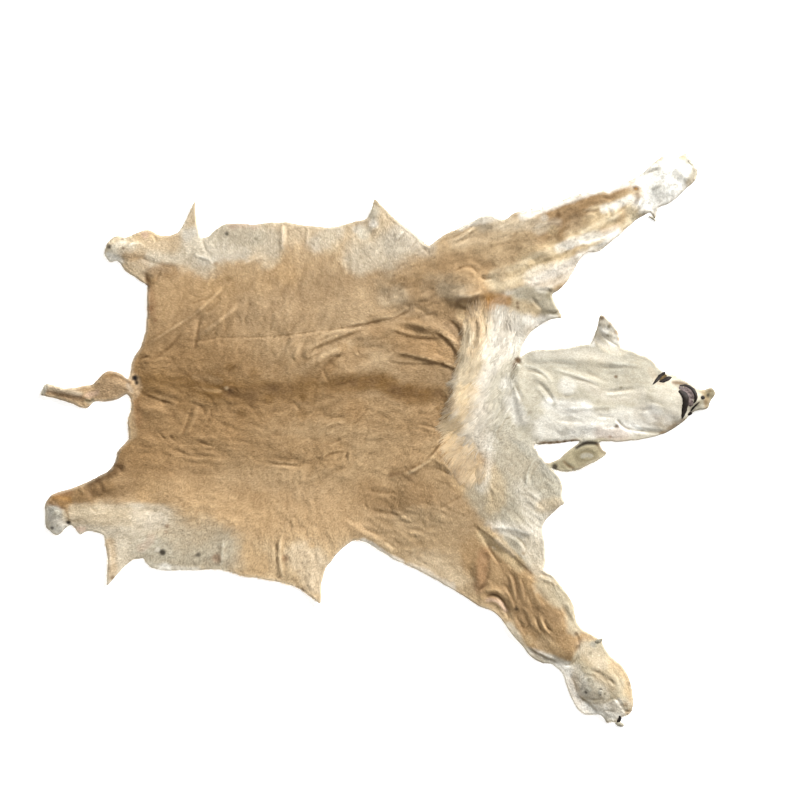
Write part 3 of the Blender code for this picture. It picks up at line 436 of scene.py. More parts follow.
# the same columns, with a height in place of the depth
RIDGES = (
    (-63.5, 26.4, -56, 31, -49, 35.6, 0.6, 2.6), (-51, 34.2, -46.6, 38, -42.2, 42.4, 0.6, 2.8),
    (-50, 29, -46, 31, -38, 37.5, 0.8, 2.4), (-53.4, 1, -50.6, 5.6, -49.6, 11, 0.7, 1.8),
    (-18, 27, -13, 29.6, -8, 30.2, 0.7, 2), (-19.8, 22.6, -18, 23.6, -16.4, 24.6, 0.45, 1.6),
    (-15, 3.8, -12, 4.8, -9, 5.2, 0.5, 1.9), (-14.6, 1.8, -13.2, 2.2, -11.8, 2.8, 0.45, 1.6),
    (-7.8, -2.8, -7.8, -4.4, -8.2, -5.6, 0.4, 1.8), (-30, -5.4, -25, -5.9, -21, -6.3, 0.45, 0.9),
    (11, 27.4, 13.5, 27, 16, 27, 0.4, 1.6), (-22, 18.6, -16, 22.6, -8, 26.2, 1.2, 2.2),
    (3.6, 24.6, 10, 23.2, 17.6, 21.6, 0.7, 2.2), (4, 32.4, 9, 32.4, 15, 30.4, 0.8, 2.2),
    (15.4, -4.6, 12, -7, 7.6, -9.4, 0.45, 2.2), (18.6, 28.8, 20.4, 27.8, 22, 26.2, 0.5, 2.2),
    (15.4, -5, 17, -6, 18.2, -7.2, 0.4, 1.6), (17.2, -5, 18.8, -7, 20.2, -8.8, 0.36, 1.5),
    (21, 40, 24.6, 39.6, 29, 41.2, 0.7, 2.6), (21.4, 44.6, 25, 46.2, 27, 44.4, 0.4, 0.8),
    (4.6, 55, 6, 56.4, 7.2, 57.6, 0.4, 2), (20, 54.8, 23, 55.9, 26.6, 58.8, 0.4, 1.8),
    (-26, 51, -26.2, 54.6, -26, 59.6, 0.5, 1.3), (-19.6, 52, -19.3, 56, -19, 59.4, 0.6, 1.6),
    (-51, 51, -47, 50, -45.2, 48.6, 0.4, 2.2), (-45, 46, -46.4, 43.6, -47, 42, 0.4, 2),
    (-38, 47.6, -35, 49.4, -31, 50.8, 0.6, 1.8), (-69, 53, -66.4, 54.2, -64, 53.2, 0.5, 2.2),
    (-25.6, -25, -27, -30, -25.8, -39, 0.6, 2.8), (-42.2, -27, -42.8, -31, -43, -34.6, 0.6, 1.9),
    (-74, -27, -73.6, -31, -73.4, -36, 0.5, 1.6), (-82, -13, -81, -14, -80.6, -15, 0.5, 2),
    (25, 34, 25.4, 29.6, 24.2, 25, 0.36, 2.4), (27.6, 34, 28, 29, 26.8, 24.6, 0.42, 2),
    (30.6, 34.6, 30.4, 31, 29.6, 27, 0.5, 1.6), (33, 26, 35, 27.8, 37.4, 29.6, 0.6, 2),
    (32, 30, 33, 32.4, 34.4, 35, 0.7, 1.8), (31.6, 1.6, 33.6, 4.6, 36.6, 8, 0.5, 2),
    (29.8, 5.2, 32, 8, 34.4, 10.4, 0.5, 1.7), (31, 1, 30.4, -6, 28.8, -13.4, 0.9, 1),
    (44.4, -4.4, 41.6, -7.6, 40.8, -13, 0.4, 1.8), (40.5, -13.5, 43.4, -15.4, 46.4, -18, 0.4, 1),
    (40, -15.3, 43, -17.6, 46.2, -19.6, 0.4, 1.1), (39.6, -17.6, 42.4, -19.8, 45.8, -22, 0.4, 1.1),
    (39.8, -19.4, 42.2, -21.4, 45.4, -24, 0.35, 0.9), (39.4, -21, 42, -23.2, 45, -25.6, 0.4, 1),
    (44.8, -7.6, 47, -10, 49.4, -12.4, 0.4, 1), (44, -9.6, 46.6, -11.6, 49.6, -13.6, 0.4, 0.9),
    (30, -24.2, 36, -24, 43, -26.4, 0.6, 1.8), (29.4, -44, 32.4, -44.2, 34.2, -46.6, 0.6, 2.2),
    (29, -41.6, 32, -41, 34.4, -42.2, 0.5, 1.8), (35.6, -36, 36.8, -39, 37.2, -42, 0.4, 2),
    (41.8, -39, 43.6, -43, 45, -47, 0.6, 2.2), (39.8, -45, 41.4, -48.4, 43, -52, 0.5, 2),
    (44.4, -48, 45.2, -50.4, 46.6, -53, 0.4, 1.8), (44.4, -38.2, 47, -38.4, 49.4, -40, 0.5, 1.8),
    (51.4, -44, 53, -47, 54, -50, 0.5, 1.8), (36, 45.4, 46, 50.2, 58, 54.2, 0.6, 1.2),
    (62, 60, 66, 62, 70, 66, 0.6, 1.8), (39, 20.6, 44, 19.6, 48.4, 15, 0.5, 2.3),
    (43, 15, 45.4, 12.6, 47.2, 9.6, 0.5, 1.6), (47, 20, 53, 18.4, 60, 15.8, 0.6, 2.5),
    (62, 12.4, 66, 12.8, 71, 13.3, 0.4, 1.6), (50, 8.6, 58, 9.2, 66, 9.4, 0.6, 1.5),
    (62, 21.6, 68, 21, 73, 20.4, 0.6, 1.5), (61, 31, 62.4, 29.6, 65, 29, 0.4, 1.6),
)

# the same columns: the side to the left of the way from the first place to the last lies on top
LAPS = (
    (-66, 15, -63, 12.5, -55, 10, 0.42, 2.8), (-9, 31.2, -3, 32.3, 4, 34, 0.5, 3),
    (1.6, 33, 5.2, 34.2, 9, 36.4, 0.45, 2.8), (-20.4, 24, -12, 27.8, -2.6, 31, 0.65, 3.2),
    (-15.4, -5.4, -13, -3.5, -8.6, -2.9, 0.4, 2.6), (3, 31.2, 9, 28.8, 17.4, 28.2, 0.65, 3.2),
    (15.4, 30, 19.4, 27.3, 22.2, 22.8, 0.48, 4), (4, 24.4, 12, 22.6, 19.6, 20.4, 0.5, 2.2),
    (3.4, 21.8, 10, 21.2, 17, 21.3, 0.4, 1.8), (17, 21.6, 19.8, 20.2, 22.2, 19.4, 0.46, 3.8),
    (18.4, 1.8, 16.4, -2, 13, -5.6, 0.45, 3.4), (13, -5.6, 8, -8.2, 2, -10.4, 0.45, 3),
    (21.6, 38, 24.6, 36.6, 28, 38, 0.6, 3), (-2.4, -18.6, 2, -19.4, 7.6, -20.6, 0.4, 2.1),
    (26, -23.4, 34, -29, 42, -37, 0.4, 0.8), (40.6, -55.8, 44, -58.4, 50.4, -61, 0.42, 2.6),
)

print(len(CREASES), "creases,", len(RIDGES), "ridges and", len(LAPS), "laps")

# %% [markdown]
# ## Press the wrinkles in
#
# A wrinkle is a profile drawn along a curve: a valley for a crease, a swell for a ridge, a step for
# a lap. It fades at both ends, as a pull in leather does. The head was dried tight, so wrinkles
# keep less of their height there. The points of the sheet are only raised or lowered, so that no
# wrinkle needs a cut of its own.

# %% Wrinkles along curves
def curve_through(three, step):
    """Points about a step apart on a curve through three places x y."""
    first, middle, last = np.array(three, float).reshape(3, 2)
    bend = 2 * middle - (first + last) / 2
    count = max(4, round((np.linalg.norm(middle - first) + np.linalg.norm(last - middle)) / step))
    t = np.linspace(0, 1, count + 1)[:, None]
    return (1 - t) ** 2 * first + 2 * t * (1 - t) * bend + t * t * last


def beside(points, line):
    """For each point: its distance to the left of the line, and its share along it."""
    run = np.diff(line, axis=0)
    length = np.maximum(np.linalg.norm(run, axis=1), TINY)
    from_start = points[:, None, :] - line[None, :-1]
    share = np.clip(np.einsum("psk,sk->ps", from_start, run) / length**2, 0, 1)
    offset = from_start - share[:, :, None] * run[None]
    distance = np.linalg.norm(offset, axis=2)
    nearest = distance.argmin(axis=1)
    rows = np.arange(len(points))
    start = from_start[rows, nearest]
    turn = run[nearest, 0] * start[:, 1] - run[nearest, 1] * start[:, 0]
    passed = np.concatenate([[0], np.cumsum(length)])[nearest]
    along = (passed + share[rows, nearest] * length[nearest]) / length.sum()
    return np.where(turn < 0, -1, 1) * distance[rows, nearest], along


def near_line(places, line, reach):
    """Which places are in the box around the line."""
    low, high = line.min(axis=0) - reach, line.max(axis=0) + reach
    return np.flatnonzero(np.all((places > low) & (places < high), axis=1))


def bell(left, middle=0):
    """A hump that is 1 at its middle and falls off softly on both sides."""
    return np.exp(-((left - middle) ** 2))


def trough(left, out=1.5, swell=0.4):
    """A valley with a low swell on each side, where the skin it took bulges up."""
    return swell * bell(np.abs(left), out) - bell(left)


def ridge(left, out=1.8, dip=0.25):
    """A swell with a low dip on each side, where it drew the skin in."""
    return bell(left) - dip * bell(np.abs(left), out)


def lap(left, fades=2.5, out=0.8, dip=0.5):
    """A step up to the left, which fades out over the skin behind it."""
    step = smooth(left + 0.5) * np.exp(-np.maximum(left, 0) / fades)
    return step - dip * bell(left, -out)


WRINKLE_REACH = 6
WRINKLE_STEP_CM = 0.8
FADES_OVER = 0.24
# rows, profile, times the width, times the height
KINDS = ((CREASES, trough, 1.3, 0.8), (RIDGES, ridge, 1.25, 1.0), (LAPS, lap, 1.3, 0.9))
# the head is stretched tight: the ends of its line, half its width, the edge over which the
# tightness fades, all in cm, and the share of their height that wrinkles keep there
TIGHT_LINE = np.array([(46, 13), (84, 11)], float)
TIGHT_HALF, TIGHT_EDGE, TIGHT_KEEPS = 13, 2, 0.7


def wrinkle_relief(places, kinds=KINDS):
    """How far the wrinkles raise each place, in millimetres."""
    total = np.zeros(len(places))
    for rows, profile, wider, higher in kinds:
        for *three, width, height in rows:
            line = curve_through(three, WRINKLE_STEP_CM)
            wide = wider * width
            near = near_line(places, line, WRINKLE_REACH * wide)
            left, along = beside(places[near], line)
            ends = smooth(along / FADES_OVER) * smooth((1 - along) / FADES_OVER)
            total[near] += higher * height * ends * profile(left / wide)
    away = np.abs(beside(places, TIGHT_LINE)[0])
    return total * (1 - (1 - TIGHT_KEEPS) * smooth((TIGHT_HALF + TIGHT_EDGE - away) / TIGHT_EDGE))


placed = wrinkle_relief(grain)
print("placed wrinkles from", placed.min().round(1), "to", placed.max().round(1), "mm")

# %% [markdown]
# ## Crumple the rest
#
# Between the listed wrinkles a dried hide is crumpled all over. The crumpling is drawn out
# the way each part was stretched, and so are the pale and dark streaks in its coat. Waves pressed
# together along that way give both, with no row for each wrinkle.

# %% The faint wrinkles
Way = namedtuple("Way", "x y toward_deg crumple_mm streak")
WAYS = (
    Way(-62, 14, 175, 3.5, 0.05), Way(-48, 34, 50, 4.2, 0.05), Way(-20, 34, 62, 3.8, 0.05),
    Way(6, 30, 15, 3.4, 0.05), Way(-45, 4, -5, 3.6, 0.05), Way(-15, 2, 30, 4, 0.05),
    Way(10, 2, 10, 4.2, 0.06), Way(-50, 54, 80, 2.2, 0.05), Way(-15, 54, 85, 2.2, 0.05),
    Way(-50, -24, 20, 2.2, 0.05), Way(-20, -28, 95, 2.6, 0.05), Way(12, -20, -25, 3.4, 0.06),
    Way(22, 44, 15, 2.8, 0.06), Way(40, 54, 28, 2.2, 0.15), Way(60, 60, 28, 1.8, 0.22),
    Way(80, 72, 40, 1.2, 0.03), Way(36, -40, -48, 2.4, 0.14), Way(48, -54, -50, 2.4, 0.14),
    Way(61, -67, -55, 1.6, 0.06), Way(28, 26, 82, 1.8, 0.12), Way(26, 4, 60, 1.8, 0.13),
    Way(40, -18, -55, 1.7, 0.07), Way(50, 12, -8, 1.1, 0.03), Way(72, 12, -4, 0.85, 0.03),
    Way(-80, -18, 12, 2.2, 0.12), Way(-70, 52, 0, 1.8, 0.08), Way(-82, 13, -3, 1.2, 0.10),
)
WAY_REACH_CM = 13.0
FAR_SHARE, LEAST_SHARE = 1e-3, 0.02
# length of a wave in cm and its share of the height
CRUMPLES = ((5.6, 1.4), (2.7, 1.0), (1.5, 0.5))
CRUMPLE_FOOT = 0.16
# how far the net of wrinkles wanders and over what length, both in cm, and how far it is drawn out
CRUMPLE_WANDERS, CRUMPLE_WANDER_CM, CRUMPLE_DRAWN = 0.8, 4.0, 2.3
# the mean height of the net, how far it swells and sinks, and over what length in cm
CRUMPLE_MEAN, CRUMPLE_SWELL, CRUMPLE_SWELL_CM = 0.8, 0.5, 14.0
FLAT_RIM_CM = 1.5


def squares_from(places, at):
    """The square of the distance from each place to each of the others."""
    return ((places[:, None, :] - at[None]) ** 2).sum(axis=2)


def by_way(places, field):
    """Mixes a field over the parts of the body, each with its own way."""
    squares = squares_from(places, np.array([(w.x, w.y) for w in WAYS], float))
    weight = np.exp(-squares / WAY_REACH_CM**2) + FAR_SHARE / (1 + squares)
    weight /= weight.sum(axis=1)[:, None]
    weight = np.where(weight > LEAST_SHARE, weight, 0)
    weight /= weight.sum(axis=1)[:, None]
    total = np.zeros(len(places))
    for k, way in enumerate(WAYS):
        near = np.flatnonzero(weight[:, k])
        total[near] += weight[near, k] * field(way, places[near])
    return total


def crumpled(way, places):
    """The net of faint short wrinkles that covers a dried hide, in millimetres."""
    bent = places + CRUMPLE_WANDERS * wander(places, CRUMPLE_WANDER_CM, 31)
    pressed = drawn_out(bent, way.toward_deg, CRUMPLE_DRAWN)
    folds = 0
    for k, (wave, share) in enumerate(CRUMPLES):
        folds = folds + share * (np.abs(waves(pressed, wave, 33 + k)) - CRUMPLE_FOOT)
    return way.crumple_mm * (CRUMPLE_MEAN + CRUMPLE_SWELL * waves(places, CRUMPLE_SWELL_CM, 37)) * folds


relief = placed + by_way(grain, crumpled) * smooth(grain_edge / FLAT_RIM_CM)
print("wrinkles from", relief.min().round(1), "to", relief.max().round(1), "mm")

# %% [markdown]
# ## Comb the coat
#
# A coat has a direction everywhere: from the head along the back to the tail, outwards over the
# flanks, and down each leg. A few combed places are enough, because the direction in between is
# blended from the nearest ones. The same table says how long the hair is and how steeply it
# stands, and which piece it belongs to.

# %% The comb
# rows for each piece: x, y in cm, the way the hair points in degrees, its length in mm, its slope
# in degrees
COMBS = {
    "coat_rump": (
        (-62, 14, 180, 9, 10), (-58, 30, 165, 9, 10), (-58, 0, 195, 9, 10), (-45, 14, 180, 10, 10),
    ),
    "coat_back": (
        (-28, 14, 180, 10, 10), (-10, 14, 180, 10, 10), (8, 14, 180, 10, 10), (-28, 28, 165, 10, 10),
        (-8, 28, 165, 10, 10), (-28, 0, 195, 10, 10), (-8, 0, 195, 10, 10), (12, 28, 165, 10, 10),
        (12, 2, 195, 10, 10),
    ),
    "coat_far_flank": (
        (-48, 46, 145, 10, 10), (-30, 48, 140, 10, 10), (-10, 48, 140, 10, 10), (-30, 58, 120, 12, 10),
        (-10, 58, 120, 12, 10), (4, 56, 110, 11, 10),
    ),
    "coat_near_flank": (
        (-52, -18, 215, 10, 10), (-34, -16, 218, 10, 10), (-14, -16, 220, 10, 10), (-50, -33, 245, 12, 10),
        (-32, -33, 240, 12, 10), (-18, -34, 240, 12, 10), (-4, -24, 240, 10, 10),
    ),
    "coat_shoulders": (
        (14, 44, 60, 8, 10), (26, 44, 30, 8, 10), (14, -14, 300, 9, 10), (24, -20, 315, 8, 10),
        (10, -26, 300, 8, 10),
    ),
    "coat_forelegs": (
        (40, 54, 28, 8, 10), (56, 60, 28, 8, 10), (70, 67, 35, 8, 10), (82, 74, 45, 8, 12),
        (34, -36, 310, 8, 10), (46, -48, 312, 8, 10), (54, -58, 310, 8, 10), (63, -69, 305, 8, 12),
    ),
    "coat_hind_legs": (
        (-66, 50, 175, 9, 10), (-72, 53, 185, 8, 12), (-74, -16, 190, 9, 10), (-86, -20, 195, 8, 12),
        (-73, 15, 180, 10, 12), (-86, 12, 180, 10, 12),
    ),
    "coat_head": (
        (46, 12, 180, 9, 8), (58, 20, 175, 8, 8), (58, 4, 185, 8, 8), (70, 12, 180, 7, 8),
        (82, 11, 180, 6, 8), (62, 31, 100, 8, 10), (56, -4, 250, 8, 10),
    ),
    "coat_neck": (
        (28, 30, 225, 11, 10), (30, 16, 215, 12, 10), (27, 2, 215, 12, 10), (38, 36, 60, 9, 10),
        (34, -10, 235, 10, 10), (44, -14, 250, 9, 10), (40, -24, 260, 8, 10),
    ),
}

PIECES = sorted(COMBS)
COMB_ROWS = np.array([row for rows in COMBS.values() for row in rows], float)
COMB_PIECES = np.array([PIECES.index(name) for name, rows in COMBS.items() for _ in rows])
COMB_REACH_CM = 11.0
COMB_WANDERS = 0.35
COMB_FAR_SHARE = 1e-4
# length of a wave in cm and its share of the wandering
COMB_WAVES = ((9.0, 1.0), (3.2, 0.7))


def comb_weights(squares, reach_cm):
    """Weights that favour the nearest combed places and never fall to nothing."""
    return np.exp(-squares / reach_cm**2) + COMB_FAR_SHARE / (1 + squares) ** 2


def combed(places):
    """For each place: the way its hair lies, its length in mm, its slope in radians and its piece."""
    toward = np.radians(COMB_ROWS[:, 2])
    facts = [np.cos(toward), np.sin(toward), COMB_ROWS[:, 3], np.radians(COMB_ROWS[:, 4])]
    squares = squares_from(places, COMB_ROWS[:, :2])
    weight = comb_weights(squares, COMB_REACH_CM)
    blended = weight @ np.column_stack(facts) / weight.sum(axis=1)[:, None]
    angle = np.arctan2(blended[:, 1], blended[:, 0])
    (wave, share), (short_wave, short_share) = COMB_WAVES
    angle += COMB_WANDERS * (share * waves(places, wave, 41) + short_share * waves(places, short_wave, 42))
    return angle, blended[:, 2], blended[:, 3], COMB_PIECES[squares.argmin(axis=1)]


_, grain_length, _, grain_piece = combed(grain)
print({name: int((grain_piece == i).sum()) for i, name in enumerate(PIECES)})

# %% [markdown]
# ## The hide itself
#
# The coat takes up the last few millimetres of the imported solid, so the bare hide is that much
# lower. Its upper face, its flesh side and a narrow wall between them make one closed sheet, which
# is what a real hide is: thin, but with a cut edge that can be seen.

# %% Build the hide
COAT_SHARE, THIN_RIM_CM = 0.2, 1.2
LEAST_HIDE_MM = 1.7
RIM_HIDE_MM = 1.6
DEEPEST_MM = 2.7

coat_depth = COAT_SHARE * grain_length * smooth(grain_edge / THIN_RIM_CM)
sunk = DEEPEST_MM * (1 - np.exp(np.minimum(relief, 0) / DEEPEST_MM))
eased = np.maximum(relief, 0) - sunk
hide_top = np.maximum(coat_top - coat_depth * MM + eased * MM, lifted + LEAST_HIDE_MM * MM)
is_rim = np.arange(len(grain)) < len(rim_points)
hide_top[is_rim] = lifted[is_rim] + RIM_HIDE_MM * MM
flesh_lifted[: len(rim_points)] = lifted[is_rim]


def new_piece(name, points, faces, materials=()):
    """A mesh object from arrays of points in metres and of triangles."""
    mesh = bpy.data.meshes.new(name)
    mesh.vertices.add(len(points))
    mesh.vertices.foreach_set("co", np.asarray(points, np.float32).ravel())
    mesh.loops.add(len(faces) * 3)
    mesh.loops.foreach_set("vertex_index", np.asarray(faces, np.int32).ravel())
    mesh.polygons.add(len(faces))
    mesh.polygons.foreach_set("loop_start", np.arange(0, len(faces) * 3, 3, dtype=np.int32))
    mesh.update(calc_edges=True)
    mesh.validate()
    mesh.shade_smooth()
    piece = bpy.data.objects.new(name, mesh)
    bpy.context.scene.collection.objects.link(piece)
    for material in materials:
        mesh.materials.append(material)
    return piece


walls, start = [], 0
for ring in rims:
    here = np.arange(start, start + len(ring))
    after = np.roll(here, -1)
    start += len(ring)
    walls += [np.column_stack([after, here, here + len(grain)])]
    walls += [np.column_stack([after, here + len(grain), after + len(grain)])]
walls = np.concatenate(walls)
hide_points = np.concatenate([
    np.column_stack([grain * CM, hide_top]),
    np.column_stack([flesh * CM, flesh_lifted]),
])
hide_faces = np.concatenate([grain_faces, flesh_faces[:, ::-1] + len(grain), walls])
hide = new_piece("hide_sheet", hide_points, hide_faces)
print("the hide has", len(hide.data.polygons), "triangles")

# %% [markdown]
# ## A chart of the hide
#
# Each hair needs to know how high the hide is below it and what colour it has there. Both are
# worked out once, on a chart of small squares, and read between its points. That is much quicker
# than asking again for every hair.

# %% Chart the heights
CHART_CM = 0.25
CHART_MARGIN_CM = 2.0
# the last square of the chart ends here, counted back from its number of points
LAST_SQUARE = 1.001

upper_points = hide_points[: len(grain)]
hide_top_tree = BVHTree.FromPolygons(upper_points.tolist(), grain_faces.tolist())
chart_low = rim_points.min(axis=0) - CHART_MARGIN_CM
chart_size = np.ceil((rim_points.max(axis=0) + CHART_MARGIN_CM - chart_low) / CHART_CM).astype(int) + 1
chart_places = chart_low + CHART_CM * np.stack(np.indices(chart_size), axis=-1).reshape(-1, 2)


def on_hide(places):
    """Points in metres on top of the hide at places in cm."""
    found = []
    for x, y in places * CM:
        hit = hide_top_tree.ray_cast((x, y, HIGH_UP), (0, 0, -1))[0]
        found.append((x, y, (hit or hide_top_tree.find_nearest((x, y, OVER_COAT / 2))[0]).z))
    return np.array(found)


def read_chart(chart, places):
    """The chart's values at places in cm, mixed from the four corners of the square around each."""
    at = np.clip((places - chart_low) / CHART_CM, 0, chart_size - LAST_SQUARE)
    cell = at.astype(int)
    part = at - cell
    total = 0
    for i in (0, 1):
        for j in (0, 1):
            share = np.abs(1 - i - part[:, 0]) * np.abs(1 - j - part[:, 1])
            values = chart[(cell[:, 0] + i) * chart_size[1] + cell[:, 1] + j]
            total = total + values * share.reshape(-1, *[1] * (values.ndim - 1))
    return total


chart_height = on_hide(chart_places)[:, 2]
chart_edge = rim_distance(chart_places)
print("the chart has", " by ".join(map(str, chart_size)), "points")

# %% [markdown]
# ## Colours laid on like dye
#
# A lion is fawn on the back, darker along the spine, and fades to cream on the belly, the neck and
# the paws. The fade is not even: it follows the body in soft strokes. So the colour is laid on the
# way a taxidermist airbrushes a coat, one soft stroke over another, each with its own width and
# softness, and the edges of the strokes are shaken so that none of them shows. Small spots are
# dotted on last. Some strokes and spots are painted shade and painted light: dark lines along folds
# and under edges that lie over others, and paler or darker patches where a slope turns from the
# lamps or towards them. Hair in creases is painted darker as painted shade, and on ridges paler as
# painted highlight.

# %% The dyes
DYES = {
    "fawn": (188, 158, 119), "hazel": (174, 145, 106), "camel": (162, 128, 86),
    "stripe": (130, 97, 55), "tan": (205, 178, 139), "straw": (224, 203, 170),
    "orange": (203, 168, 121), "cream": (221, 208, 184), "stone": (184, 175, 154),
    "white": (276, 273, 264), "brown": (164, 133, 94), "umber": (108, 80, 50),
    "russet": (146, 104, 70), "ochre": (176, 128, 66), "sand": (214, 188, 146),
    "chalk": (222, 214, 198), "linen": (199, 191, 171), "ash": (180, 172, 152),
    "ivory": (240, 222, 187), "oat": (207, 193, 164), "grey": (168, 163, 148),
    "olive": (124, 114, 88), "biscuit": (198, 168, 130), "pink": (216, 184, 162),
    "black": (34, 26, 20), "honey": (184, 152, 110), "milk": (228, 217, 194),
    "wheat": (205, 186, 153), "moss": (163, 152, 122),
}
print(len(DYES), "dyes")

